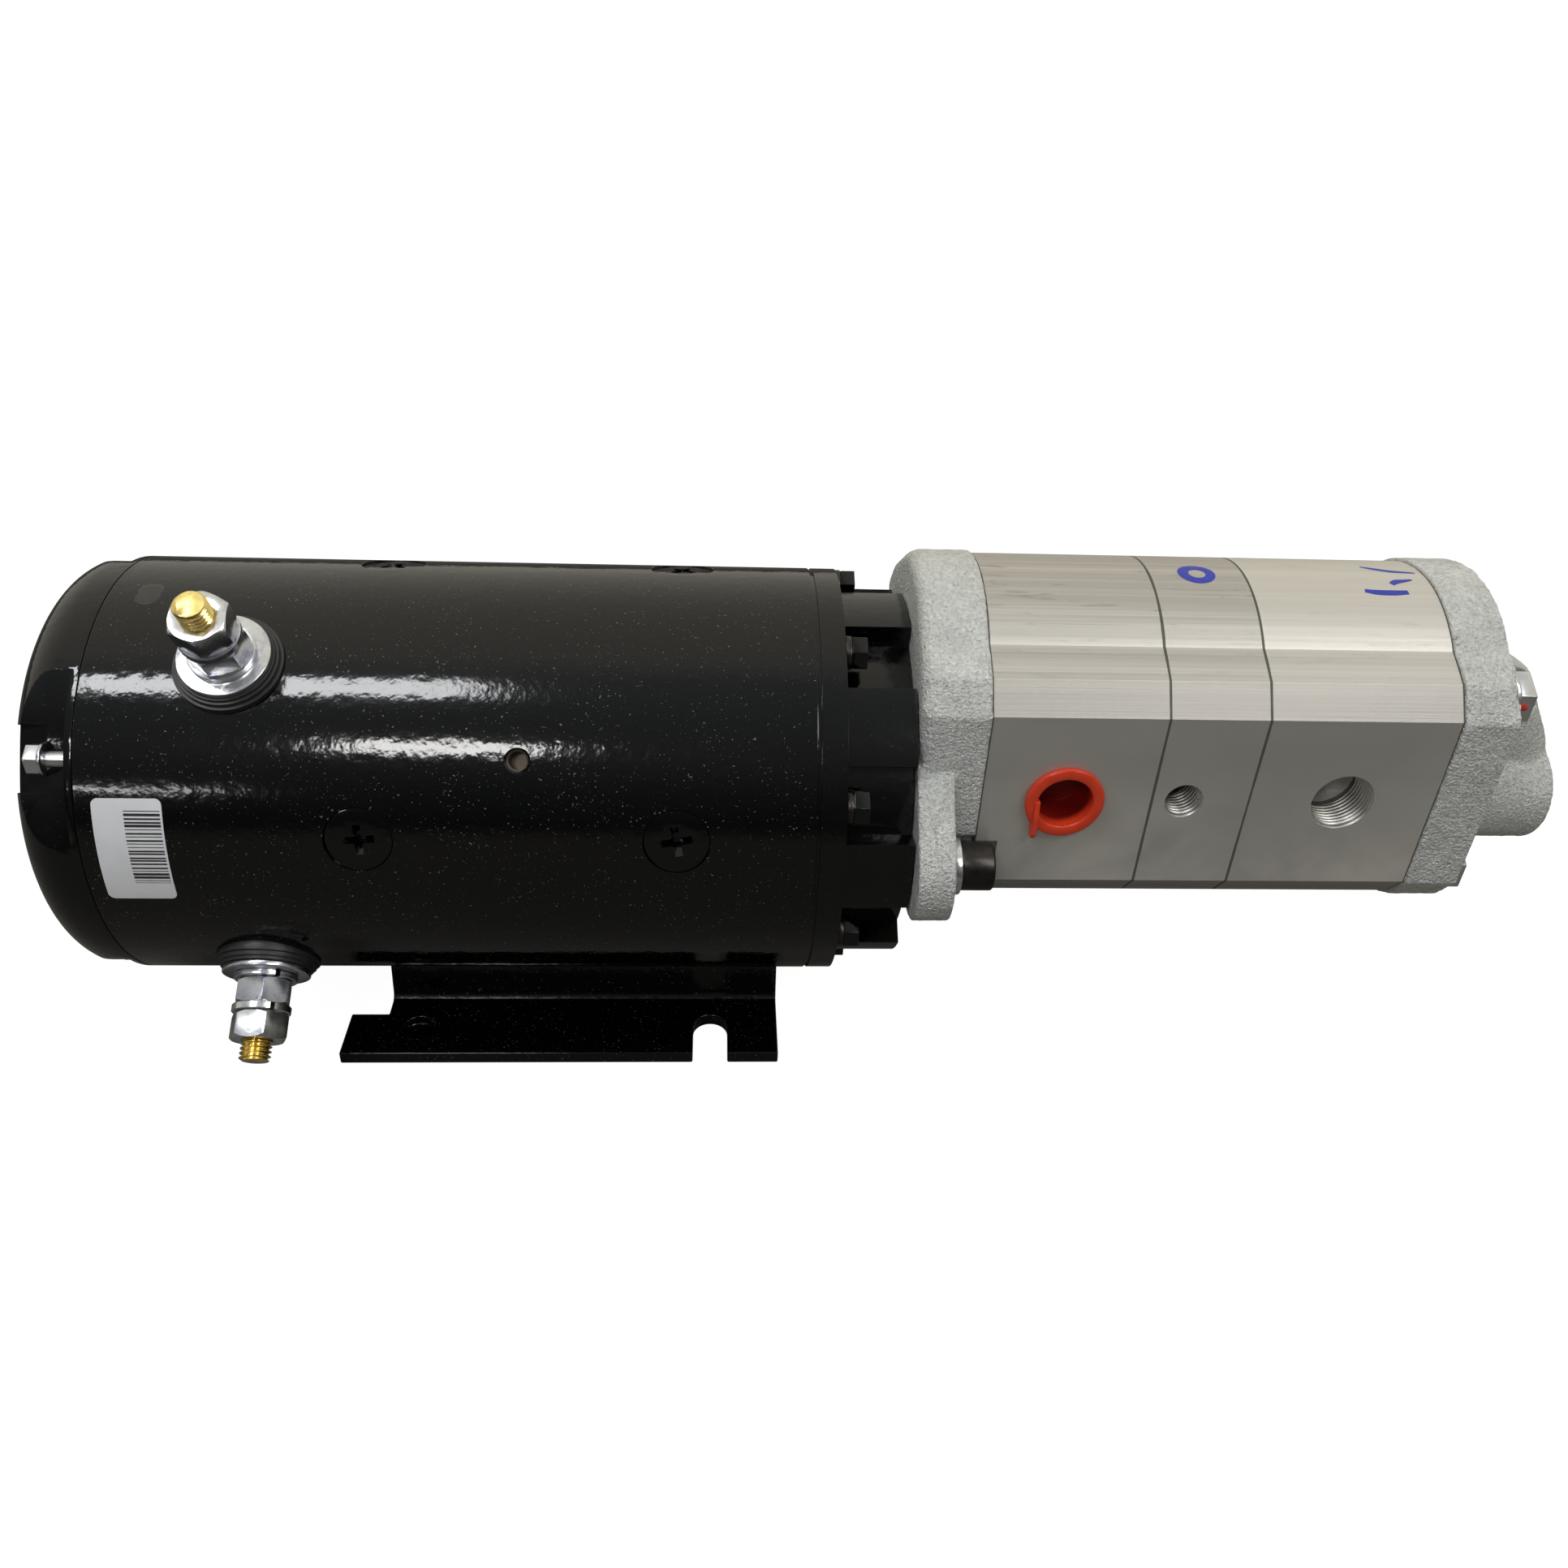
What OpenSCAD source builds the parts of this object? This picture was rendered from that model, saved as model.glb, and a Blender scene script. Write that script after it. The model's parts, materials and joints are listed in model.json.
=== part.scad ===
// DC motor driven tandem gear pump unit.
// Origin: on the resting plane, midway between the two closed foot holes.
// +X along the shaft toward the pump, -Y toward the port side, +Z up.

/* [Motor] */
// Outer diameter of the motor tube
tube_d = 114.3; // [112:0.1:116]
// Wall thickness of the motor tube
tube_wall = 8; // [7:0.5:8.5]
// Height of the shaft axis above the resting plane
axis_h = 72; // [72:0.5:90]
// Start of the tube at the end-cap seam
tube_x0 = -110; // [-112:0.5:-109]
// Length of the commutator end cap
cap_len = 17.3; // [16:0.1:20]
// Elevation of the first pole, from the port side upward
pole_el = 14; // [10:1:16]
// Elevation of the upper terminal stud
term_el_a = 58; // [56:1:60]
// Elevation of the lower terminal stud
term_el_b = -33.5; // [-35:0.5:-32]
// Axial position of the terminal studs
term_x = -75; // [-75.2:0.1:-74]
// Diameter of the terminal studs
stud_d = 7.9; // [7.5:0.1:8.2]

/* [Foot bracket] */
// Length of the foot plate along the shaft
foot_len = 125; // [124:1:130]
// Overall width across both feet
foot_w = 93.6; // [92:0.2:110]
// Thickness of the bracket plate
plate_t = 4; // [3.5:0.5:4.5]
// Width of the open mounting slots
slot_w = 10; // [8:0.5:11]
// Distance along the shaft from the closed holes to the foot centre
hole_x = 42; // [40:0.5:44]
// Diameter of the closed mounting holes
hole_d = 9; // [7:0.5:11]

/* [Pump] */
// Length of the front pump body
body_a_len = 45; // [44:0.5:60]
// Length of the centre section
centre_len = 25.8; // [25:0.1:32]
// Length of the rear pump body
body_b_len = 50; // [49.5:0.1:66]
// Thickness of the rear cover plate
rear_len = 14.4; // [14:0.2:20]
// Half width across the port faces
port_half = 40.35; // [39.5:0.05:42]
// Thread minor diameter of the pressure ports
port_d = 16.6; // [15:0.1:18]
// Thread minor diameter of the centre drain port
drain_d = 10.2; // [8:0.1:12]
// Thread minor diameter of the suction ports on the far face
suction_d = 20.5; // [18:0.1:22]
// Gear module
gear_m = 2.5; // [2.5:0.1:2.5]

/* [Hidden] */
$fn = 48;
eps = 0.01;  // overlap between joined parts
fit = 0.03;  // radial gap of close fits
tube_r = tube_d/2;
tube_in_r = tube_r - tube_wall;

// Stations along X, measured from the foot centre
cap_x0 = tube_x0 - cap_len;
tube_x1 = 69;
rim_x0 = tube_x1 + 0.8;
rim_x1 = 76.3;
drive_head_x = 78;             // seat of the drive-end screw heads
nose_x1 = 94.4;
gasket_x1 = nose_x1 + 0.4;
journal_x0 = 103.6;            // start of the front drive gear's journal
lobe_x1 = 104.4;               // seat of the flange washers
body_a_x0 = 112.1;
body_a_x1 = body_a_x0 + body_a_len;
body_b_x0 = body_a_x1 + centre_len;
body_b_x1 = body_b_x0 + body_b_len;
cover_x1 = body_b_x1 + rear_len;
boss_x1 = cover_x1 + 22.5;

// Screw and terminal layout of the motor
end_screw_r = tube_r - 4.75;   // pitch radius of the end screws
term_els = [term_el_a, term_el_b];
pole_xs = [-43.5, 34.1];
cap_els = [for (i=[0:3]) 33.5 + 90*i];
drive_els = [for (i=[0:7]) 22.5 + 45*i];

// ---------- helpers ----------
// Shaft frame: foot centre along X, shaft axis in Y and Z
module on_shaft() translate([hole_x,0,axis_h]) children();
module rod(start, end, radius)
  translate([start,0,0]) rotate([0,90,0]) cylinder(h=end-start, r=radius);
module ring(start, end, outer, bore) difference() {
  rod(start, end, outer);
  rod(start-1, end+1, bore);
}
// Extrudes a Y-Z outline along X
module slab(start, end)
  translate([start,0,0]) rotate([90,0,90]) linear_extrude(height=end-start) children();
module hex(start, end, flats)
  translate([start,0,0]) rotate([0,90,0]) cylinder(h=end-start, r=flats/2/cos(30), $fn=6);
// Turns +Z to an elevation measured from -Y upward
module radial(el) rotate([90-el,0,0]) children();
// Sector outline in Y-Z, centred on an elevation
module wedge(el, half, reach) polygon([
  [0,0],
  [-reach*cos(el-half), reach*sin(el-half)],
  [-1.3*reach*cos(el), 1.3*reach*sin(el)],
  [-reach*cos(el+half), reach*sin(el+half)]]);
module at_end_screws(els)
  for (el=els) translate([0,-end_screw_r*cos(el),end_screw_r*sin(el)]) children();
module at_pole_screws()
  for (i=[0:3]) for (x=pole_xs) translate([x,0,0]) radial(pole_el+90*i) children();
module at_terminals() for (el=term_els) translate([term_x,0,0]) radial(el) children();

// ---------- motor shell ----------
cap_screw_r = 2;
drive_screw_r = 2.5;

module motor_tube() color("#151515") on_shaft() difference() {
  rod(tube_x0, tube_x1, tube_r);
  rod(tube_x0-1, tube_x1+1, tube_in_r);
  at_pole_screws() {
    translate([0,0,tube_in_r-3]) cylinder(h=20, r=5.1);
    translate([0,0,tube_r-3.8]) cylinder(h=3, r1=5.1, r2=8.4);
    translate([0,0,tube_r-0.8-eps]) cylinder(h=4, r=8.4);
  }
  at_terminals() translate([0,0,tube_in_r-6]) cylinder(h=20, r=9.05);
  // small radial hole between the two terminals' elevation and the top
  translate([-4.6,0,0]) radial(34.3) translate([0,0,tube_in_r-6]) cylinder(h=20, r=2.7);
  at_end_screws(cap_els) rod(tube_x0-1, tube_x0+9, cap_screw_r+0.02);
  at_end_screws(drive_els) rod(tube_x1-10, tube_x1+1, drive_screw_r+0.02);
}

cap_seat_x = tube_x0 - 7.5;    // seat of the end-cap washers
cap_head_x = cap_seat_x - 0.8;
cap_round = 12;                // edge radius on the -X face
module cap_pocket(el) intersection() {
  radial(el) translate([cap_x0-2,-8.3,46.5]) cube([cap_seat_x-cap_x0+2,16.6,20]);
  rod(cap_x0-3, tube_x0, tube_r+3);
}
module commutator_end_cap() color("#171717") on_shaft() difference() {
  translate([cap_x0,0,0]) rotate([0,90,0]) rotate_extrude() {
    square([tube_r-cap_round, cap_len]);
    translate([0,cap_round]) square([tube_r, cap_len-cap_round]);
    intersection() {
      translate([tube_r-cap_round,cap_round]) circle(r=cap_round);
      translate([tube_r-cap_round,0]) square([cap_round,cap_round+eps]);
    }
  }
  // inner cavity and bearing seat
  rod(cap_x0+9, tube_x0+1, 46);
  rod(cap_x0+3.5, tube_x0, rear_bearing_r+fit);
  at_end_screws(cap_els) rod(tube_x0-12, tube_x0+1, cap_screw_r+0.1);
  for (el=cap_els) {
    cap_pocket(el);
    // flat on the rim over each end screw
    radial(el) translate([cap_x0-1,-30,tube_r-4.2]) cube([cap_len-0.7,60,10]);
  }
}
module end_cap_screws() color("#c8ccd0") on_shaft() at_end_screws(cap_els) union() {
  rod(cap_head_x, tube_x0+8, cap_screw_r);
  hex(cap_head_x-3.5, cap_head_x, 7);
}
module end_cap_washers() color("#b9bdc2") on_shaft()
  at_end_screws(cap_els) ring(cap_head_x, cap_seat_x, 4.3, cap_screw_r+0.02);

foot_hole_y = 36.4;
module bracket_outline() {
  half = foot_w/2;
  difference() {
    polygon([[-half,0], [-half,plate_t], [-24.1,plate_t], [-21,21],
             [21,21], [24.1,plate_t], [half,plate_t], [half,0],
             [21.4,0], [19.2,axis_h-tube_r-plate_t],
             [-19.2,axis_h-tube_r-plate_t], [-21.4,0]]);
    translate([0,axis_h]) circle(r=tube_r+0.02, $fn=96);
  }
}
module mounting_bracket() color("#101010") translate([hole_x,0,0]) difference() {
  slot_x = hole_x + 0.8;
  slot_run = foot_w/2 + 20 - foot_hole_y;
  slab(-foot_len/2, foot_len/2) bracket_outline();
  // web cut away at the -X end
  translate([-foot_len/2-1,-30.8,-1]) cube([11.8,61.6,60]);
  for (side=[-1,1]) {
    translate([slot_x,side*foot_hole_y,-1]) cylinder(h=plate_t+2, d=slot_w);
    translate([slot_x-slot_w/2, side>0 ? foot_hole_y : -foot_w/2-20-eps, -1])
      cube([slot_w,slot_run,plate_t+2]);
    translate([-hole_x,side*foot_hole_y,-1]) cylinder(h=plate_t+2, d=hole_d);
  }
}

// ---------- poles and field coils ----------
pole_screw_r = 4;
pole_half_angle = 31;
coil_x0 = -64.5;
coil_x1 = 56.6;
module pole_shoes() color("#3a3a3c") on_shaft() difference() {
  for (i=[0:3]) slab(-58,48.6) intersection() {
    difference() {
      circle(r=tube_in_r-fit);
      circle(r=36);
    }
    union() {
      rotate(-(pole_el+90*i)) translate([-60,-13]) square([60,26]);
      intersection() {
        wedge(pole_el+90*i, pole_half_angle, 90);
        circle(r=39.5);
      }
    }
  }
  at_pole_screws() translate([0,0,38.5]) cylinder(h=20, r=pole_screw_r+0.02);
}
module field_coils() color("#7a4a1e") on_shaft() for (i=[0:3]) difference() {
  intersection() {
    slab(coil_x0, coil_x1) intersection() {
      difference() {
        circle(r=tube_in_r-0.6);
        circle(r=39.7);
      }
      wedge(pole_el+90*i, pole_half_angle, 90);
    }
    radial(pole_el+90*i) translate([coil_x0,-26,0]) cube([coil_x1-coil_x0,52,80]);
  }
  // window around the pole body
  radial(pole_el+90*i) translate([-58.2,-13.2,0]) cube([107,26.4,80]);
}
module pole_screws() color("#141414") on_shaft() at_pole_screws() difference() {
  head_z = tube_r - 3.85;
  union() {
    translate([0,0,39.5]) cylinder(h=head_z-39.5+eps, r=pole_screw_r);
    translate([0,0,head_z]) cylinder(h=2.95, r1=4.9, r2=8.2);
    translate([0,0,tube_r-0.9-eps]) cylinder(h=0.15, r=8.2);
  }
  // cross recess
  translate([-4.4,-0.9,tube_r-3.4]) cube([8.8,1.8,5]);
  translate([-0.9,-4.4,tube_r-3.4]) cube([1.8,8.8,5]);
}

// ---------- drive end ----------
flange_y = 46;                 // flange screws either side of the shaft
flange_screw_r = 4;
module at_flange_screws() for (side=[-1,1]) translate([0,side*flange_y,0]) children();
module nose_pocket(el) slab(rim_x1, nose_x1+1) intersection() {
  difference() {
    circle(r=60);
    circle(r=45.5);
  }
  wedge(el, 11.2, 90);
}
module drive_end_housing() color("#161616") on_shaft() difference() {
  union() {
    rod(rim_x0, rim_x1, tube_r-0.05);
    rod(tube_x1, rim_x0, tube_r-0.9);
    rod(rim_x1-eps, nose_x1, 52.1);
    rod(tube_x1-5, tube_x1+eps, tube_in_r-0.04);
  }
  for (el=drive_els) nose_pocket(el);
  at_end_screws(drive_els) rod(tube_x1-6, rim_x1+1, drive_screw_r+0.1);
  // cavity, bearing seat and shaft opening
  rod(tube_x1-6, 78.4, 44);
  rod(78.4-eps, 90.5, front_bearing_r+fit);
  rod(90, nose_x1+1, 13);
  at_flange_screws() rod(82, nose_x1+1, flange_screw_r+0.02);
}
module drive_end_screws() color("#2a2a2c") on_shaft() at_end_screws(drive_els) union() {
  rod(tube_x1-8, drive_head_x+eps, drive_screw_r);
  hex(drive_head_x, drive_head_x+4, 8);
}
module drive_end_lock_washers() color("#36363a") on_shaft()
  at_end_screws(drive_els) ring(rim_x1, drive_head_x, 4.4, drive_screw_r+fit);

// ---------- rotating parts of the motor ----------
shaft_r = 10;
shaft_bore_r = shaft_r + 0.02;
front_seat_r = 8.5;            // shaft radius in the +X bearing
rear_seat_r = 7.5;             // shaft radius in the -X bearing
front_bearing_r = 20;
rear_bearing_r = 17.5;
// Bearings: start, width, ball radius, ball pitch radius
front_bearing = [78.45, 12, 3.3, 14.25];
rear_bearing = [-123.4, 11, 2.9, 12.5];
com_r = 19.5;                  // commutator radius
motor_hex = 13;                // across flats
hex_gap = 0.08;                // added across flats in hex sockets

module armature_core() color("#5b5d60") on_shaft() slab(-54,44) difference() {
  circle(r=35.3);
  circle(r=shaft_bore_r);
  for (i=[0:23]) rotate(15*i) translate([26,-1.7]) square([12,3.4]);
}
module armature_windings() color("#b06a2a") on_shaft() difference() {
  union() {
    for (x=[-66,44.05]) ring(x, x+11.9, 33.5, 20.5);
    slab(-54.3,44.3) for (i=[0:23]) rotate(15*i) translate([26.3,-1.5]) square([7,3]);
  }
  rod(-80, 70, 20.4);
}
module commutator() color("#c07a3a") on_shaft() difference() {
  union() {
    rod(-104, -78, com_r);
    rod(-78-eps, -73.5, 23);
  }
  rod(-105, -70, shaft_bore_r);
  for (i=[0:23]) rotate([15*i,0,0]) translate([-105,-0.4,com_r-1.2]) cube([35,0.8,6]);
}
module motor_shaft() color("#9aa0a6") on_shaft() union() {
  rod(-123.4, -111, rear_seat_r);
  rod(-111-eps, -66.2, shaft_r);
  rod(-66.2-eps, 62, shaft_r);
  rod(62-eps, 78.3, shaft_r);
  rod(78.3-eps, 90.6, front_seat_r);
  hex(90.6-eps, 97, motor_hex);
}
// Bearing ring with its ball groove
module race(bearing, outer, bore) {
  start = bearing[0];
  width = bearing[1];
  difference() {
    ring(start, start+width, outer, bore);
    translate([start+width/2,0,0]) rotate([0,90,0])
      rotate_extrude() translate([bearing[3],0]) circle(r=bearing[2]+0.06, $fn=32);
  }
}
// Nine balls and the cage ring that holds them
module cage(bearing) {
  middle = bearing[0] + bearing[1]/2;
  ball_r = bearing[2];
  pitch_r = bearing[3];
  for (i=[0:8]) rotate([40*i,0,0]) translate([middle,0,pitch_r]) sphere(r=ball_r, $fn=24);
  difference() {
    ring(middle-ball_r*0.75, middle+ball_r*0.75, pitch_r+0.55, pitch_r-0.55);
    for (i=[0:8]) rotate([40*i,0,0])
      translate([middle,0,pitch_r-5]) cylinder(h=10, r=ball_r*0.8, $fn=24);
  }
}
module front_bearing_outer() color("#aab0b6") on_shaft()
  race(front_bearing, front_bearing_r, 16.4);
module front_bearing_inner() color("#b4bac0") on_shaft()
  race(front_bearing, 12.1, front_seat_r+fit);
module front_bearing_cage() color("#c9a24a") on_shaft() cage(front_bearing);
module rear_bearing_outer() color("#aab0b6") on_shaft()
  race(rear_bearing, rear_bearing_r, 14.2);
module rear_bearing_inner() color("#b4bac0") on_shaft()
  race(rear_bearing, 10.8, rear_seat_r+fit);
module rear_bearing_cage() color("#c9a24a") on_shaft() cage(rear_bearing);

// ---------- brush gear ----------
brush_el = 59;                 // elevation of the first brush
brush_x = -91;                 // brush centre along X
module brush_plate() color("#6b4a2a") on_shaft() difference() {
  rod(-107.5, -104.6, 45.5);
  rod(-108, -104, 22);
  for (i=[0:3]) rotate([90*i+8,0,0]) translate([-108,0,34]) rod(0, 5, 2.2);
}
module brush_holders() color("#c9a24a") on_shaft() for (i=[0:3]) radial(brush_el+90*i)
  difference() {
    translate([-104.55,-6.2,22.5]) cube([22.2,12.4,21.5]);
    translate([-99.1,-4.1,20]) cube([16.2,8.2,22]);
  }
module brush(number) color("#3c3836") on_shaft() radial(brush_el+90*(number-1)) difference() {
  translate([brush_x-8,-4,17]) cube([16,8,15.5]);
  rod(-100, -80, com_r+fit);
}
module brush_1() brush(1);
module brush_2() brush(2);
module brush_3() brush(3);
module brush_4() brush(4);
// Sleeve with ring grooves inside and out, standing for the coils
module brush_spring(number) color("#8d9298") on_shaft() radial(brush_el+90*(number-1))
  translate([brush_x,0,32.55]) rotate_extrude($fn=24) difference() {
    translate([1.6,0]) square([1.7,9.4]);
    for (i=[0:3]) {
      translate([3.3,1.2+2.3*i]) circle(r=0.55, $fn=12);
      translate([1.6,2.35+2.3*i]) circle(r=0.55, $fn=12);
    }
  }
module brush_spring_1() brush_spring(1);
module brush_spring_2() brush_spring(2);
module brush_spring_3() brush_spring(3);
module brush_spring_4() brush_spring(4);

// ---------- terminals ----------
strap_x = -79.3;
strap_z = 40.9;                // underside of the straps, top of the stud heads
thread_r = stud_d/2 - 0.32;
// Stack outside the tube, by distance from the shaft axis
flat_z = tube_r + 2.9;
lock_z = flat_z + 1.6;
nut_z = lock_z + 1.6;
top_lock_z = nut_z + 6.6;
top_nut_z = top_lock_z + 2.2;
stud_top_z = tube_r + 22.2;    // end of the reduced length

module lead_straps() color("#b5652b") on_shaft()
  for (el=term_els) radial(el) translate([strap_x,-6,strap_z]) difference() {
    union() {
      cube([21,12,1.6]);
      translate([-2.95,0,0]) cube([3,12,1.6]);
    }
    translate([term_x-strap_x,6,-1]) cylinder(h=4, r=stud_d/2+0.1);
  }
module terminal_insulators() color("#0c0c0c") on_shaft() at_terminals() difference() {
  union() {
    translate([0,0,tube_in_r-3]) cylinder(h=tube_wall+5.8, r=9);
    // stepped collar: radius, height above the tube
    difference() {
      union() for (step=[[13.2,0.8], [12.4,2], [11.7,2.85]])
        translate([0,0,53]) cylinder(h=tube_r+step[1]-53, r=step[0]);
      rod(-50, 50, tube_r+0.02);
    }
  }
  translate([0,0,30]) cylinder(h=60, r=stud_d/2+fit);
}
module terminal_studs() color("#c9a24a") on_shaft() at_terminals() union() {
  translate([0,0,42.55]) cylinder(h=stud_top_z-42.55, r=thread_r);
  translate([0,0,stud_top_z-eps]) cylinder(h=4.2+eps, r=stud_d/2);
  translate([0,0,stud_top_z+4.2-eps]) cylinder(h=0.8, r1=stud_d/2, r2=stud_d/2-0.8);
  translate([0,0,36.6]) cylinder(h=4.3, r=6.9, $fn=6);
  translate([0,0,strap_z-eps]) cylinder(h=1.7, r=thread_r);
}
module washer(z, thick, outer, bore) translate([0,0,z]) difference() {
  cylinder(h=thick, r=outer);
  translate([0,0,-1]) cylinder(h=thick+2, r=bore);
}
module terminal_flat_washers() color("#d5d8da") on_shaft()
  at_terminals() washer(flat_z, 1.6, 11.15, stud_d/2+0.25);
module terminal_lock_washers() color("#c4c8cc") on_shaft() at_terminals() {
  washer(lock_z, 1.6, 8, stud_d/2+0.15);
  washer(top_lock_z, 2.2, 7.4, stud_d/2+0.15);
}
// Hex nut with 1 mm chamfers at both ends
module nut(z, thick, turn) rotate([0,0,turn]) difference() {
  flat_r = 13/2;
  wide_r = flat_r*1.17;
  intersection() {
    translate([0,0,z]) cylinder(h=thick, r=flat_r/cos(30), $fn=6);
    union() {
      translate([0,0,z]) cylinder(h=1, r1=flat_r, r2=wide_r);
      translate([0,0,z+1-eps]) cylinder(h=thick-2+2*eps, r=wide_r);
      translate([0,0,z+thick-1]) cylinder(h=1, r1=wide_r, r2=flat_r);
    }
  }
  translate([0,0,z-1]) cylinder(h=thick+2, r=stud_d/2+0.02);
}
module terminal_nuts() color("#cfd3d6") on_shaft()
  for (i=[0,1]) translate([term_x,0,0]) radial(term_els[i]) {
    nut(nut_z, 6.6, [20,15][i]);
    nut(top_nut_z, 7.1, [34,2][i]);
  }
module tube_label() color("#f2f2f0") on_shaft() intersection() {
  ring(-107, -88, tube_r+0.17, tube_r+0.02);
  radial(10.5) translate([-97.45,0,40])
    linear_extrude(height=40) offset(r=1.6) square([13.3,23.9], center=true);
}

// ---------- pump layout ----------
teeth = 12;
gear_gap = gear_m*teeth;       // distance between the gear centres
pump_z = axis_h + gear_gap/2;  // height of the pump section centre
bore_r = 17.5;                 // gear bores in the bodies
journal_r = 8;
journal_bore_r = journal_r + 0.05;
block_a_len = 12;
block_b_len = 13.4;
bolt_y = 30;
bolt_z = 27;
bolt_r = 4;
bolt_hole_r = 4.35;
seal_depth = 1.6;
coupling_r = 12;
gear_hex = 11;                 // across flats
// Z offsets from the pump section centre
bolt_dz = 2;
outline_dz = 1.5;
port_dz = 2.2;
boss_dz = -4.7;
boss_y = -21;
port_a_x = body_a_x0 + 21.8;
port_b_x = body_b_x0 + 25.1;
drain_x = body_a_x1 + 8.5;

module on_pump() translate([hole_x,0,pump_z]) children();
module at_bolts()
  for (y=[-bolt_y,bolt_y]) for (z=[-bolt_z,bolt_z]) translate([0,y,z+bolt_dz]) children();
module at_gears() for (side=[-1,1]) translate([0,side*gear_gap/2]) children();
// Pump outline in Y-Z, grown by a margin
module pump_outline(grow) {
  // one quadrant of the straight-sided outline: y, z
  corner = [[port_half+grow, 25.5],
            [34.4+grow, 33.2+grow*0.6],
            [29.6+grow*0.7, 35.9+grow],
            [25.5, 37.9+grow]];
  translate([0,outline_dz]) {
    polygon([for (sign=[[1,1], [-1,1], [-1,-1], [1,-1]]) for (i=[0:3])
      let (point = corner[sign[0]*sign[1] > 0 ? i : 3-i])
      [sign[0]*point[0], sign[1]*point[1]]]);
    for (side=[-1,1]) translate([0,side*11.5]) circle(r=36.7+grow, $fn=72);
  }
}
module racetrack(radius) {
  at_gears() circle(r=radius);
  translate([-radius,-gear_gap/2]) square([2*radius,gear_gap]);
}
module seal_outline(inner, width) difference() {
  union() racetrack(inner+width);
  union() racetrack(inner);
}

// ---------- pump front ----------
module flange_gasket() color("#2f7a68") on_shaft() ring(nose_x1, gasket_x1, 40, 14);
module shaft_coupling() color("#83888e") on_shaft() difference() {
  rod(91.2, journal_x0, coupling_r);
  hex(91, 97.1, motor_hex+hex_gap);
  hex(97.05, 104, gear_hex+hex_gap);
}
module flange_lobes() for (side=[-1,1]) hull() {
  translate([side*flange_y,-gear_gap/2]) circle(r=14.4);
  translate([side*30-4,-33]) square([8,50.7]);
}
// Rounded edge on the motor side: distance from the face, outline growth
cover_edge = [[0,-2.4], [0.6,-1.1], [1.7,0], [3.4,0.7]];
module edge_slice(step)
  slab(gasket_x1+step[0], gasket_x1+step[0]+0.1) pump_outline(step[1]);
module pump_front_cover() color("#b9bcbe") on_pump() difference() {
  union() {
    for (i=[0:2]) hull() {
      edge_slice(cover_edge[i]);
      edge_slice(cover_edge[i+1]);
    }
    slab(gasket_x1+3.4, body_a_x0) pump_outline(0.7);
    slab(gasket_x1, lobe_x1) flange_lobes();
  }
  translate([0,0,-gear_gap/2]) {
    rod(gasket_x1-1, 104.2, 13.5);
    rod(104.1, 110.2, 13.02);
    rod(110, body_a_x0+1, 9.5);
    at_flange_screws() {
      rod(gasket_x1-1, lobe_x1+1, 4.3);
      rod(lobe_x1, body_a_x0+1, 7.9);
    }
  }
  at_bolts() rod(99.5, body_a_x0+1, bolt_r+0.02);
}
flange_head_x = lobe_x1 + 2.9;
module flange_cap_screws() color("#1c1c1e") on_shaft() at_flange_screws() difference() {
  union() {
    rod(84, flange_head_x+eps, flange_screw_r);
    rod(flange_head_x, flange_head_x+8.8, 6.5);
  }
  hex(flange_head_x+4.4, flange_head_x+9.3, 6);
}
module flange_washers() color("#4a4a4c") on_shaft()
  at_flange_screws() ring(lobe_x1, flange_head_x, 7.6, flange_screw_r+0.05);
module shaft_seal() color("#1a1a1a") on_shaft() ring(104.2, 110.2, 13, journal_bore_r);

// ---------- pump sections ----------
// Tapped hole in the -Y face, with drill point and inner passage
module port_hole(x, diameter, depth)
  translate([x,-port_half,port_dz]) rotate([90,0,0]) translate([0,0,-depth]) {
    tip = diameter*0.29;
    cylinder(h=depth+1, d=diameter);
    translate([0,0,-tip]) cylinder(h=tip+eps, r1=0.2, r2=diameter/2);
    translate([0,0,-14]) cylinder(h=14, r=2.6);
  }
module suction_hole(x)
  translate([x,port_half,0]) rotate([-90,0,0]) translate([0,0,-17]) {
    cylinder(h=18, d=suction_d);
    translate([0,0,-16]) cylinder(h=17, r=7);
  }
module pump_body(start, end, port_x) difference() {
  slab(start, end) pump_outline(0);
  for (side=[-1,1]) translate([0,0,side*gear_gap/2]) rod(start-1, end+1, bore_r);
  at_bolts() rod(start-1, end+1, bolt_hole_r);
  for (x=[start-1, end-seal_depth]) slab(x, x+seal_depth+1) seal_outline(21, 2);
  port_hole(port_x, port_d, 12.5);
  suction_hole(port_x);
}
module pump_body_front() color("#c9cacb") on_pump() difference() {
  pump_body(body_a_x0, body_a_x1, port_a_x);
  // room for the flange screw heads
  translate([0,0,-gear_gap/2]) at_flange_screws() rod(body_a_x0-1, 118.2, 6.9);
}
module pump_body_rear() color("#c9cacb") on_pump() pump_body(body_b_x0, body_b_x1, port_b_x);
module centre_section() color("#c2c3c4") on_pump() difference() {
  slab(body_a_x1, body_b_x0) pump_outline(0);
  at_bolts() rod(body_a_x1-1, body_b_x0+1, bolt_hole_r);
  translate([0,0,-gear_gap/2]) rod(body_a_x1-1, body_b_x0+1, 14);
  port_hole(drain_x, drain_d, 13);
}
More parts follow.
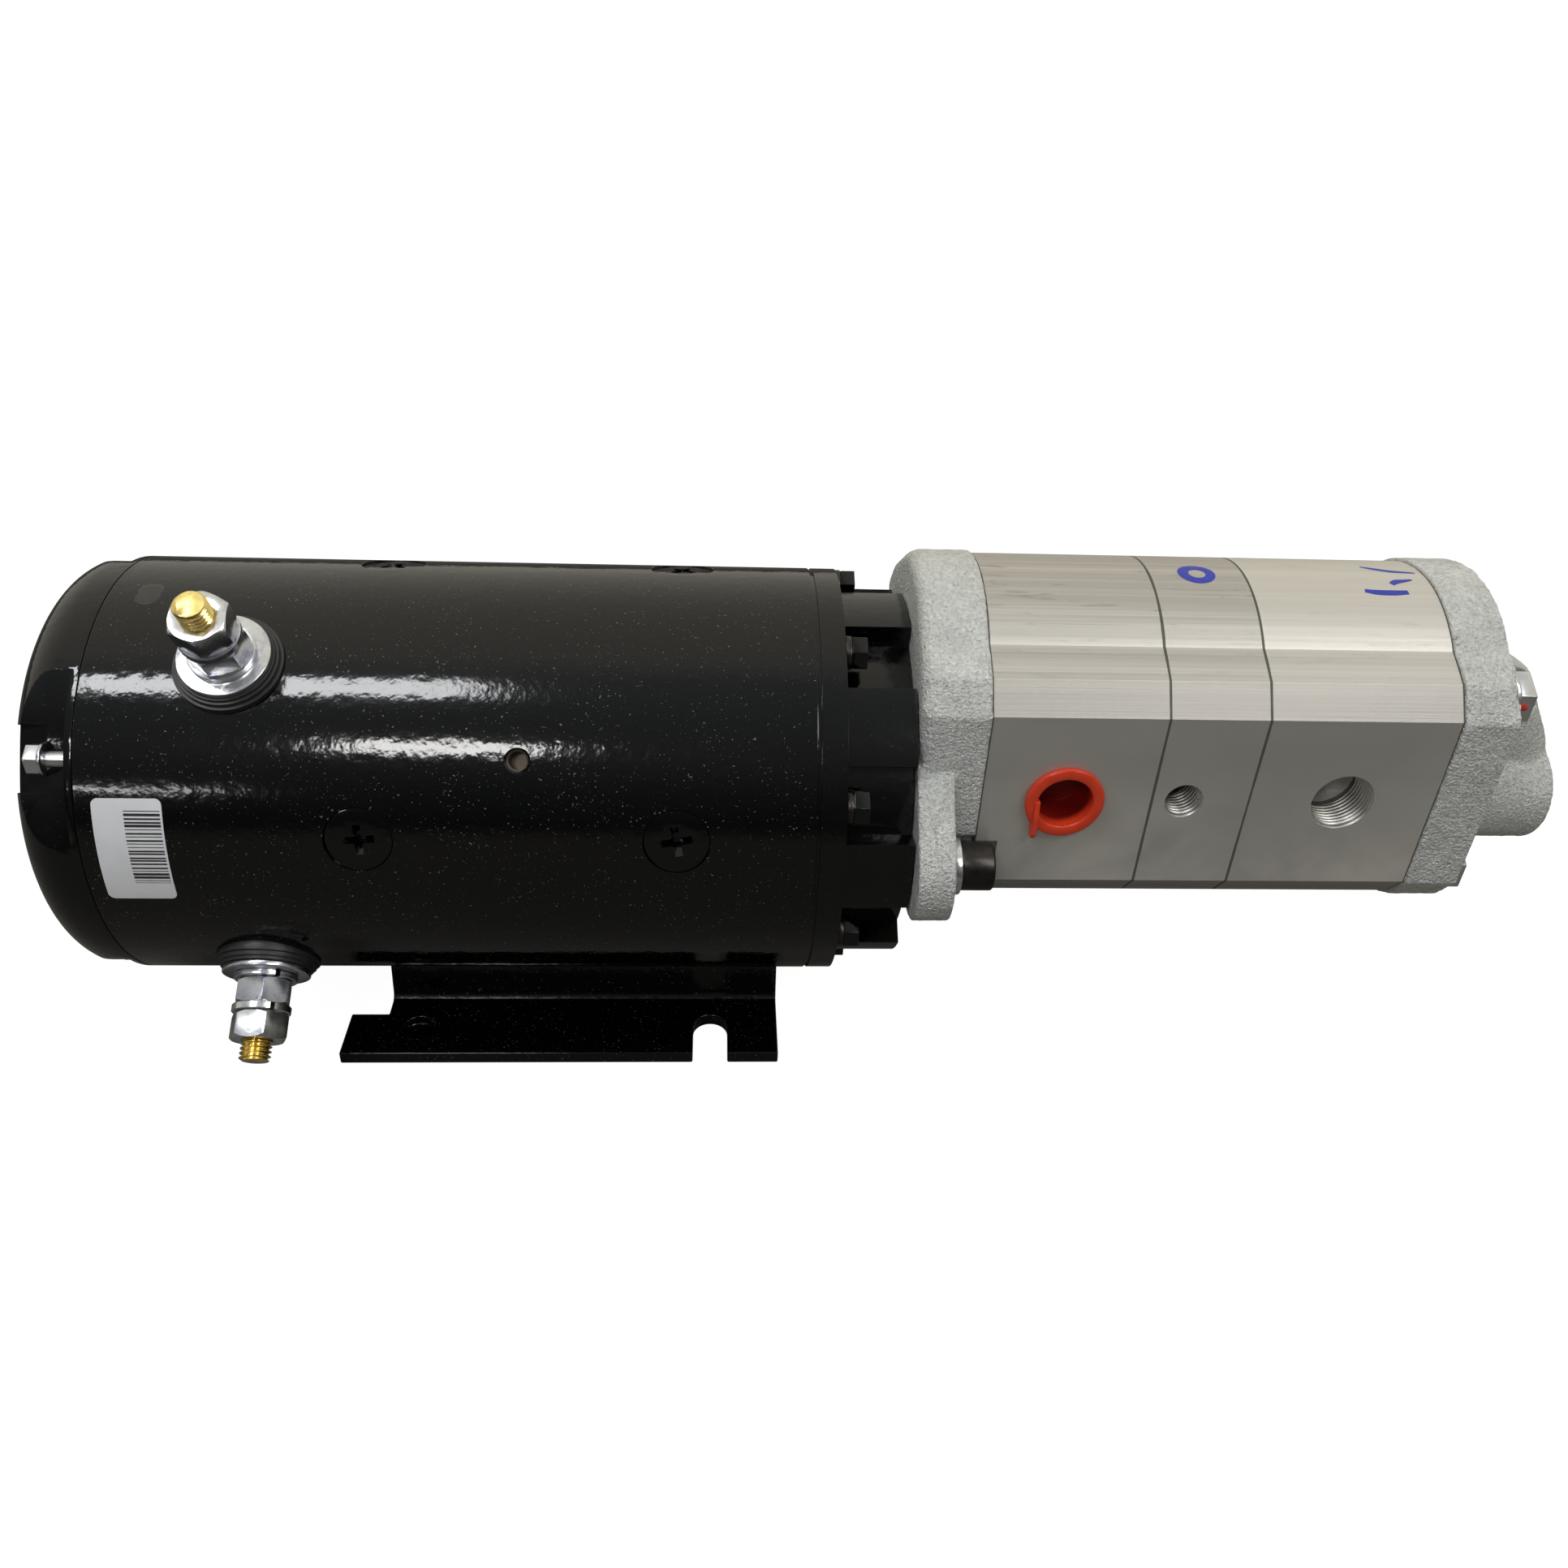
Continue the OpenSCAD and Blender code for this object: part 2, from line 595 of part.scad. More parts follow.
module rear_cover() color("#b4b7b9") on_pump() difference() {
  union() {
    slab(body_b_x1, cover_x1) pump_outline(0.9);
    translate([0,boss_y,boss_dz]) rod(cover_x1-1, boss_x1, 14.2);
    // bulge over the internal gallery, falling away from the boss
    intersection() {
      translate([cover_x1+17.5,-18,2]) rotate([0,-31,0])
        translate([0,0,-12]) cylinder(h=60, r=10.2);
      translate([0,40,0]) rotate([90,0,0]) linear_extrude(height=100) polygon([
        [cover_x1-6,-8], [boss_x1-0.5,-8], [boss_x1-0.5,32], [cover_x1+11,32],
        [cover_x1+5.8,34.4], [cover_x1+3,35.6], [cover_x1-6,35.6]]);
    }
  }
  at_bolts() rod(body_b_x1-1, cover_x1+1, bolt_hole_r);
  at_bolts() rod(cover_x1-0.8, boss_x1+9, 8.2);
  translate([0,boss_y,boss_dz]) {
    rod(boss_x1-17, boss_x1+1, port_d/2);
    rotate([0,90,0]) translate([0,0,boss_x1-21.6]) cylinder(h=4.6+eps, r1=0.3, r2=port_d/2);
  }
  translate([0,0,-gear_gap/2]) rod(body_b_x1-1, body_b_x1+4, 8.6);
}
bolt_head_x = cover_x1 + 0.4;
module through_bolts() color("#d0d4d7") on_pump() at_bolts() union() {
  rod(100, bolt_head_x+eps, bolt_r);
  hex(bolt_head_x, bolt_head_x+4.3, 13);
}
module through_bolt_washers() color("#c4c8cb") on_pump()
  at_bolts() ring(cover_x1-0.8, bolt_head_x, 7.6, bolt_r+0.05);

// ---------- gears ----------
tip_r = 17.2;
root_r = 12.1;
pressure_angle = 27;
backlash = 0.14;
base_r = gear_gap/2*cos(pressure_angle);
function involute(angle) = tan(angle)*180/PI - angle;
// Half the angle a tooth spans at a radius
function half_angle(radius) =
  (PI*gear_m/4 - backlash/4)/(gear_gap/2)*180/PI
  + involute(pressure_angle) - involute(radius<=base_r ? 0 : acos(base_r/radius));
// Flank from root to tip: radius, half angle
flank = concat([[root_r, 10.6], [root_r, half_angle(base_r)*1.04]],
  [for (radius=[13.45, 14.3, 15.2, 16.2, tip_r]) [radius, half_angle(radius)]]);
function polar(radius, angle) = [radius*cos(angle), radius*sin(angle)];
function tooth(middle) = concat(
  [for (p=flank) polar(p[0], middle-p[1])],
  [for (i=[len(flank)-1:-1:0]) polar(flank[i][0], middle+flank[i][1])]);
module gear_outline(turn)
  polygon([for (i=[0:teeth-1]) for (point=tooth(turn+360/teeth*i)) point]);
// Gear between two journals that run from start to end
gear_a = [body_a_x0+block_a_len+0.1, body_a_x1-block_a_len-0.1];
gear_b = [body_b_x0+block_b_len+0.1, body_b_x1-block_b_len-0.1];
module gear_shaft(faces, start, end, turn=90) union() {
  slab(faces[0], faces[1]) gear_outline(turn);
  rod(start, faces[0]+eps, journal_r);
  rod(faces[1]-eps, end, journal_r);
}
module driven_gear(faces, start, end) color("#8e949a") on_shaft()
  translate([0,0,gear_gap]) gear_shaft(faces, start+0.3, end-0.3, 90+180/teeth);
module drive_gear_front() color("#8e949a") on_shaft() union() {
  gear_shaft(gear_a, journal_x0, body_a_x1+5);
  hex(97.2, journal_x0+eps, gear_hex);
  hex(body_a_x1+5-eps, body_a_x1+12.6, gear_hex);
}
module driven_gear_front() driven_gear(gear_a, body_a_x0, body_a_x1);
module drive_gear_rear() color("#8e949a") on_shaft() union() {
  gear_shaft(gear_b, body_b_x0-5, body_b_x1+2);
  hex(body_b_x0-12.4, body_b_x0-5+eps, gear_hex);
}
module driven_gear_rear() driven_gear(gear_b, body_b_x0, body_b_x1);

// ---------- parts inside the sections ----------
module block_outline() difference() {
  union() at_gears() circle(r=bore_r-fit);
  at_gears() circle(r=journal_bore_r);
  for (y=[9.6,-19.6]) translate([y,-4]) square([10,8]);
}
module bearing_blocks(start, end, length) color("#b79a5a") on_pump() {
  slab(start+0.02, start+length) block_outline();
  slab(end-length, end-0.02) block_outline();
}
module bearing_blocks_front() bearing_blocks(body_a_x0, body_a_x1, block_a_len);
module bearing_blocks_rear() bearing_blocks(body_b_x0, body_b_x1, block_b_len);
module section_seals() color("#202020") on_pump()
  for (x=[body_a_x0, body_a_x1-seal_depth, body_b_x0, body_b_x1-seal_depth])
    slab(x+0.02, x+seal_depth-0.02) seal_outline(21.05, 1.9);
module section_coupling() color("#83888e") on_shaft() difference() {
  rod(body_a_x1+5.2, body_b_x0-5.2, coupling_r);
  hex(body_a_x1+4, body_b_x0-4, gear_hex+hex_gap);
}
module port_plug() color("#c8321c") on_pump()
  translate([port_a_x,-port_half,port_dz]) rotate([90,0,0]) difference() {
    union() {
      cylinder(h=1.8, r=10.3);
      translate([0,0,-11.5]) cylinder(h=11.5+eps, r=port_d/2-0.06);
    }
    translate([0,0,-10]) cylinder(h=13, r=7.25);
  }

motor_tube();
commutator_end_cap();
end_cap_screws();
end_cap_washers();
mounting_bracket();
pole_shoes();
field_coils();
pole_screws();
drive_end_housing();
drive_end_screws();
drive_end_lock_washers();
armature_core();
armature_windings();
commutator();
motor_shaft();
front_bearing_outer();
front_bearing_inner();
front_bearing_cage();
rear_bearing_outer();
rear_bearing_inner();
rear_bearing_cage();
brush_plate();
brush_holders();
brush_1();
brush_2();
brush_3();
brush_4();
brush_spring_1();
brush_spring_2();
brush_spring_3();
brush_spring_4();
lead_straps();
terminal_insulators();
terminal_studs();
terminal_flat_washers();
terminal_lock_washers();
terminal_nuts();
tube_label();
flange_gasket();
shaft_coupling();
pump_front_cover();
flange_cap_screws();
flange_washers();
shaft_seal();
pump_body_front();
centre_section();
pump_body_rear();
rear_cover();
through_bolts();
through_bolt_washers();
drive_gear_front();
driven_gear_front();
drive_gear_rear();
driven_gear_rear();
bearing_blocks_front();
bearing_blocks_rear();
section_seals();
section_coupling();
port_plug();
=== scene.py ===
"""An electric motor with a two-section gear pump on its end, standing on a bent sheet foot.

The axis runs along X, from the commutator end (-X) to the rear pump cover (+X). The terminals
and ports face -Y and the foot stands on z = 0. Sizes are in mm from the foot centre, and
place() turns them into metres. x = 0 of the frame is level with the round foot holes.
"""

import json
import math

import bmesh
import bpy
import numpy as np
from mathutils import Matrix, Vector, noise

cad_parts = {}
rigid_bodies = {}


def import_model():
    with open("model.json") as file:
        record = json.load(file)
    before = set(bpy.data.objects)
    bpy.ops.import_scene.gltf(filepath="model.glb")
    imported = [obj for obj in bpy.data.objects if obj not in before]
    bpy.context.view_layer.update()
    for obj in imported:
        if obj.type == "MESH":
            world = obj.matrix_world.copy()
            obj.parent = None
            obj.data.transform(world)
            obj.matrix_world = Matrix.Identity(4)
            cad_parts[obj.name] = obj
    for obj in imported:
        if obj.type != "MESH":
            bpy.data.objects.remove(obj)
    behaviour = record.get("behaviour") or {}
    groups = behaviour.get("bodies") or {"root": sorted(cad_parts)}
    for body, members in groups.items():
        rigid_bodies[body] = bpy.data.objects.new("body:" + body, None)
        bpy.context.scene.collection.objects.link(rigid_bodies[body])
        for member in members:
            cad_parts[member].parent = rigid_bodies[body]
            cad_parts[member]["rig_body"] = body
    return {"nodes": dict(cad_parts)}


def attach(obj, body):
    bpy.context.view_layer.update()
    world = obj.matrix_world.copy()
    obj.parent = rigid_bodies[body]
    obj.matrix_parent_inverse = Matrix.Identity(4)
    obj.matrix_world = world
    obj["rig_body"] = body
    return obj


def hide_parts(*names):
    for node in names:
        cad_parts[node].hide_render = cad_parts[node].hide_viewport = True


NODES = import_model()["nodes"]
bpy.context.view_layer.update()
TURN = 2 * math.pi

# ---------------------------------------------------------------- main sizes, mm
HOLE_X = 42.0                                # foot centre to the round foot holes
HOLE_Y = 36.4
AXIS_Z = 72.0                                # motor axis
TUBE_R, BORE_R = 57.15, 49.15
PUMP_Z = 87.0
PORT_FACE_Y, PORT_Z = -40.35, 89.2
PLUG_X, SMALL_PORT_X, LARGE_PORT_X = 133.9, 165.6, 208.0
BOSS_X = 269.8                               # end of the threaded boss on the rear cover
SEAMS = (112.1, 157.1, 182.9, 232.9)         # x of the faces where pump sections meet
TERMINAL_X, TERMINAL_ANGLES = -75.0, (58.0, -33.5)
POLE_X, POLE_ANGLE = (-43.5, 34.1), 14.0     # pole screws, repeated every quarter turn


def place(x, y, z):
    return Vector(((x + HOLE_X) / 1000.0, y / 1000.0, z / 1000.0))


def axis_at(x):
    return place(x, 0, AXIS_Z)


def radial(degrees):
    """Direction out from the motor axis, raised from -Y toward +Z."""
    angle = math.radians(degrees)
    return Vector((0.0, -math.cos(angle), math.sin(angle)))


# ---------------------------------------------------------------- shader nodes
def empty_tree(owner):
    owner.use_nodes = True
    owner.node_tree.nodes.clear()
    return owner.node_tree


def feed(tree, socket, value):
    if isinstance(value, bpy.types.NodeSocket):
        tree.links.new(value, socket)
    else:
        socket.default_value = (*value, 1.0) if socket.type == "RGBA" else value


def add_node(tree, kind, inputs=(), **settings):
    node = tree.nodes.new("ShaderNode" + kind)
    for name, value in settings.items():
        setattr(node, name, value)
    for key, value in dict(inputs).items():
        feed(tree, node.inputs[key], value)
    return node


def add_math(tree, operation, *values, clamp=False):
    inputs = dict(enumerate(values))
    return add_node(tree, "Math", inputs, operation=operation, use_clamp=clamp).outputs[0]


def add_ramp(tree, factor, stops):
    """stops: (position, colour)."""
    node = add_node(tree, "ValToRGB", {0: factor})
    elements = node.color_ramp.elements
    while len(elements) < len(stops):
        elements.new(0.5)
    for element, (position, colour) in zip(elements, stops):
        element.position = position
        element.color = (*colour, 1.0)
    return node.outputs[0]


class Shader:
    """A Principled material being built. Its methods take and return sockets."""

    def __init__(self, name):
        self.material = bpy.data.materials.new(name)
        self.tree = empty_tree(self.material)
        output = self.node("OutputMaterial")
        self.surface = self.node("BsdfPrincipled")
        feed(self.tree, output.inputs[0], self.surface.outputs[0])
        self.place = self.node("TexCoord").outputs["Object"]

    def node(self, kind, inputs=(), **settings):
        return add_node(self.tree, kind, inputs, **settings)

    def finish(self, **inputs):
        for name, value in inputs.items():
            feed(self.tree, self.surface.inputs[name.replace("_", " ").title()], value)
        return self.material

    def noise(self, scale=1.0, detail=2.0, roughness=0.5, stretch=None, distortion=0.0):
        vector = self.place
        if stretch:
            vector = self.node("Mapping", {0: vector, "Scale": stretch}).outputs[0]
        return self.node("TexNoise", {
            "Vector": vector, "Scale": scale, "Detail": detail,
            "Roughness": roughness, "Distortion": distortion}).outputs["Fac"]

    def ramp(self, factor, start, end, before=0.0, after=1.0):
        return add_ramp(self.tree, factor, [(start, (before,) * 3), (end, (after,) * 3)])

    def math(self, operation, a, b=0.0, c=0.0, clamp=False):
        return add_math(self.tree, operation, a, b, c, clamp=clamp)

    def add(self, a, b):
        return self.math("ADD", a, b)

    def sub(self, a, b):
        return self.math("SUBTRACT", a, b)

    def mul(self, a, b, clamp=False):
        return self.math("MULTIPLY", a, b, clamp=clamp)

    def above(self, value, limit):
        return self.math("GREATER_THAN", value, limit)

    def below(self, value, limit):
        return self.math("LESS_THAN", value, limit)

    def grade(self, value, start, slope):
        """0 up to start, then rising to 1."""
        return self.mul(self.sub(value, start), slope, clamp=True)

    def vary(self, factor, least, span):
        return self.add(self.mul(factor, span), least)

    def weigh(self, a, weight_a, b, weight_b):
        return self.add(self.mul(a, weight_a), self.mul(b, weight_b))

    def mix(self, factor, low, high):
        return self.node("Mix", {0: factor, 6: low, 7: high}, data_type="RGBA").outputs[2]

    def overlay(self, under, mask, strength, colour):
        return self.mix(self.mul(mask, strength), under, colour)

    def bump(self, height, strength, distance, normal=None):
        inputs = {"Height": height, "Strength": strength, "Distance": distance}
        if normal is not None:
            inputs["Normal"] = normal
        return self.node("Bump", inputs).outputs[0]

    def xyz(self, vector):
        return self.node("SeparateXYZ", {0: vector}).outputs[:]

    def to_mm(self, x):
        """x in mm from the foot centre."""
        return self.sub(self.mul(x, 1000.0), HOLE_X)


# ---------------------------------------------------------------- materials
def black_paint(name, specks=1.0, peel=1.0, roughness=0.045):
    """Gloss black with dust specks, fibres and orange peel."""
    mat = Shader(name)
    dust = mat.noise(scale=1500, detail=3, roughness=0.62)
    clumps = mat.noise(scale=90, detail=2)
    limit = mat.sub(0.735, mat.mul(clumps, 0.10 * specks))     # lower where dust clumps
    dust = mat.mul(mat.above(dust, limit), specks)
    fibres = mat.noise(stretch=(260, 900, 900), detail=1, distortion=2.0)
    fibres = mat.mul(mat.above(fibres, limit=0.80), 0.5 * specks)
    dirt = mat.math("MAXIMUM", dust, fibres)
    base = mat.overlay((0.0007, 0.0009, 0.0010), dirt, strength=0.62, colour=(0.25, 0.235, 0.21))
    smudge = mat.noise(scale=36, detail=3, roughness=0.6)
    rough = mat.vary(smudge, least=roughness, span=0.10)
    rough = mat.add(rough, mat.mul(dirt, 0.35))                # dirt is duller than paint
    normal = mat.bump(mat.noise(scale=330), strength=0.30 * peel, distance=0.00026)
    fine = mat.noise(scale=1500, roughness=0.6)
    normal = mat.bump(fine, strength=0.16 * peel, distance=0.00004, normal=normal)
    normal = mat.bump(dirt, strength=0.45, distance=0.00006, normal=normal)
    mat.surface.inputs["Specular IOR Level"].default_value = 0.44
    return mat.finish(base_color=base, roughness=rough, normal=normal)


def extruded_skin(name):
    """Die lines along X, with milled port faces and section ends."""
    mat = Shader(name)
    x, _, z = mat.xyz(mat.place)
    normal_x, normal_y, _ = mat.xyz(mat.node("TexCoord").outputs["Normal"])
    port_face = mat.above(mat.math("ABSOLUTE", normal_y), limit=0.97)
    ends = mat.above(mat.math("ABSOLUTE", normal_x), limit=0.9)
    flat = mat.math("MAXIMUM", port_face, ends)
    lines = mat.noise(stretch=(4, 1050, 1050), detail=3, roughness=0.72)
    wide = mat.noise(stretch=(2.5, 330, 330), detail=3, roughness=0.6)
    grain = mat.noise(scale=2600)
    tone = mat.weigh(lines, 0.5, wide, 0.5)
    skin = mat.mix(mat.ramp(tone, start=0.34, end=0.66),
                   low=(0.48, 0.46, 0.425), high=(0.66, 0.64, 0.595))
    # die smears on the crown, and scratches
    smear = mat.noise(stretch=(55, 420, 420), detail=4, roughness=0.7)
    crown = mat.grade(z, start=0.118, slope=45.0)
    dark = mat.mul(mat.ramp(smear, start=0.60, end=0.68), crown)
    skin = mat.overlay(skin, dark, strength=0.60, colour=(0.24, 0.215, 0.18))
    scratches = mat.noise(stretch=(22, 1900, 1900), roughness=0.6, distortion=0.15)
    scratches = mat.ramp(scratches, start=0.70, end=0.74)
    skin = mat.overlay(skin, scratches, strength=0.5, colour=(0.20, 0.185, 0.16))
    # the rear section has a paler crown, and the shoulders are darker
    rear = mat.grade(x, start=(SEAMS[2] + HOLE_X) / 1000, slope=2000.0)
    skin = mat.overlay(skin, mat.mul(rear, crown), strength=0.70, colour=(0.86, 0.835, 0.775))
    shoulder = mat.below(z, limit=0.1216)
    skin = mat.overlay(skin, shoulder, strength=0.42, colour=(0.35, 0.335, 0.31))
    # milled faces: blotches, and lighter in patches towards the bottom
    mill = mat.mix(mat.noise(stretch=(12, 30, 60), detail=3),
                   low=(0.40, 0.39, 0.36), high=(0.50, 0.49, 0.455))
    blotches = mat.ramp(mat.noise(scale=22, distortion=0.6), start=0.50, end=0.74)
    mill = mat.overlay(mill, blotches, strength=0.40, colour=(0.60, 0.585, 0.54))
    low = mat.mul(mat.sub(0.098, z), 32.0, clamp=True)         # height and slope of the lighter band
    patches = mat.noise(scale=34, detail=3, roughness=0.55, distortion=0.5)
    low = mat.mul(low, mat.ramp(patches, start=0.30, end=0.62, before=0.15))
    mill = mat.overlay(mill, low, strength=0.55, colour=(0.86, 0.835, 0.77))
    base = mat.mix(flat, low=skin, high=mill)
    rough = mat.mix(flat, low=mat.vary(lines, least=0.40, span=0.22),
                    high=mat.vary(blotches, least=0.38, span=0.10))
    # a dirty hairline where two sections meet
    x_mm = mat.to_mm(x)
    gap = mat.math("ABSOLUTE", mat.sub(x_mm, SEAMS[0]))
    for seam_x in SEAMS[1:]:
        gap = mat.math("MINIMUM", gap, mat.math("ABSOLUTE", mat.sub(x_mm, seam_x)))
    patches = mat.noise(scale=60, detail=3, roughness=0.6)
    seam = mat.below(gap, mat.math("MULTIPLY_ADD", patches, 0.45, 0.14))   # span, least width
    base = mat.overlay(base, seam, strength=0.88, colour=(0.045, 0.040, 0.033))
    # less metallic on the port face and in the seams
    metal = mat.sub(mat.sub(0.92, mat.mul(port_face, 0.42)), mat.mul(seam, 0.45))
    relief = mat.mul(mat.weigh(lines, 0.8, wide, 0.35), mat.sub(1.0, flat))
    normal = mat.bump(relief, strength=0.55, distance=0.00012)
    normal = mat.bump(grain, strength=0.10, distance=0.00003, normal=normal)
    cross = mat.noise(stretch=(1100, 40, 40))
    normal = mat.bump(cross, strength=0.05, distance=0.00003, normal=normal)
    return mat.finish(base_color=base, metallic=metal, roughness=rough, normal=normal)


def cast_skin(name):
    mat = Shader(name)
    grain = mat.noise(scale=1050, detail=4, roughness=0.68)
    cells = mat.node("TexVoronoi", {"Vector": mat.place, "Scale": 1500}).outputs["Distance"]
    blotches = mat.noise(scale=120, detail=3, roughness=0.6)
    pits = mat.noise(scale=420, detail=3, roughness=0.7)
    pits = mat.ramp(pits, start=0.28, end=0.34, before=1.0, after=0.0)
    tone = mat.ramp(mat.weigh(grain, 0.75, blotches, 0.25), start=0.32, end=0.68)
    base = mat.mix(tone, low=(0.52, 0.535, 0.52), high=(0.98, 0.995, 0.965))
    base = mat.overlay(base, pits, strength=0.55, colour=(0.14, 0.15, 0.15))
    rough = mat.vary(grain, least=0.26, span=0.26)
    normal = mat.bump(grain, strength=1.0, distance=0.0010)
    normal = mat.bump(cells, strength=0.8, distance=0.00030, normal=normal)
    return mat.finish(base_color=base, metallic=0.52, roughness=rough, normal=normal)


def plated(name, low, high, roughness, stain=None, bump=0.12):
    """Bare or plated metal. low and high are its darker and lighter tones."""
    mat = Shader(name)
    cloud = mat.noise(scale=260, detail=3, roughness=0.6)
    grain = mat.noise(scale=1400)
    base = mat.mix(cloud, low, high)
    if stain is not None:
        patches = mat.noise(scale=210, detail=3, roughness=0.65, distortion=0.8)
        patches = mat.ramp(patches, start=0.50, end=0.60)
        base = mat.overlay(base, patches, strength=0.55, colour=stain)
    rough = mat.vary(cloud, least=roughness, span=0.14)
    normal = mat.bump(grain, strength=bump, distance=0.00004)
    dents = mat.noise(scale=420)
    normal = mat.bump(dents, strength=bump * 0.8, distance=0.00010, normal=normal)
    return mat.finish(base_color=base, metallic=1.0, roughness=rough, normal=normal)


def plastic(name, low, high, roughness, span, scale, bump, depth=0.00008, coat=0.0, glow=0.0):
    """Any non-metal. span is the roughness variation, glow the light scattered inside."""
    mat = Shader(name)
    base = mat.mix(mat.noise(scale=scale, detail=3, roughness=0.6), low, high)
    rough = mat.vary(mat.noise(scale=scale * 0.4), least=roughness, span=span)
    normal = mat.bump(mat.noise(scale=scale * 3.2), strength=bump, distance=depth)
    return mat.finish(base_color=base, roughness=rough, normal=normal, coat_weight=coat,
                      subsurface_weight=glow)


def label_film(name):
    """Pale film with a block of dark bars running along X."""
    mat = Shader(name)
    x, y, z = mat.xyz(mat.place)
    angle = mat.math("ARCTAN2", mat.sub(z, AXIS_Z / 1000), mat.mul(y, -1.0))
    around = mat.mul(angle, TUBE_R)                            # mm round the tube
    random = mat.node("TexWhiteNoise", noise_dimensions="1D")
    cell = mat.math("FLOOR", mat.mul(around, 4.3))             # cells per mm
    feed(mat.tree, random.inputs["W"], cell)
    # of every four cells one is always dark and two are dark at random
    fourth = mat.math("MODULO", mat.add(cell, 400.0), 4.0)
    bars = mat.mul(mat.above(random.outputs["Value"], limit=0.52),
                   mat.math("COMPARE", mat.math("MODULO", fourth, 2.0), 1.0, 0.1))
    bars = mat.math("MAXIMUM", bars, mat.math("COMPARE", fourth, 2.0, 0.1))
    x_mm = mat.to_mm(x)
    for inside in (mat.above, x_mm, -98.3), (mat.below, x_mm, -89.7), \
                  (mat.above, around, 1.7), (mat.below, around, 21.2):
        test, value, limit = inside
        bars = mat.mul(bars, test(value, limit))
    paper = mat.mix(mat.noise(scale=160, detail=3), low=(0.66, 0.67, 0.70), high=(0.78, 0.79, 0.81))
    base = mat.mix(bars, low=paper, high=(0.02, 0.02, 0.022))
    normal = mat.bump(mat.noise(scale=700), strength=0.08, distance=0.00004)
    rough = mat.vary(mat.noise(scale=90), least=0.32, span=0.2)
    return mat.finish(base_color=base, roughness=rough, normal=normal, coat_weight=0.3,
                      coat_roughness=0.12)


def plug_plastic(name):
    """Red plastic with painted shade inside the cup, darker from the rim inwards."""
    mat = Shader(name)
    _, y, _ = mat.xyz(mat.place)
    # painted shade: the cup's inside darkens with depth
    inside = mat.grade(y, start=-0.0402, slope=420.0)
    cloud = mat.noise(scale=180, detail=3, roughness=0.6)
    base = mat.mix(cloud, low=(0.60, 0.032, 0.010), high=(0.80, 0.066, 0.020))
    base = mat.mix(inside, low=base, high=(0.20, 0.006, 0.004))
    rough = mat.vary(mat.noise(scale=72), least=0.26, span=0.16)
    normal = mat.bump(mat.noise(scale=580), strength=0.14, distance=0.00008)
    return mat.finish(base_color=base, roughness=rough, normal=normal, coat_weight=0.15)


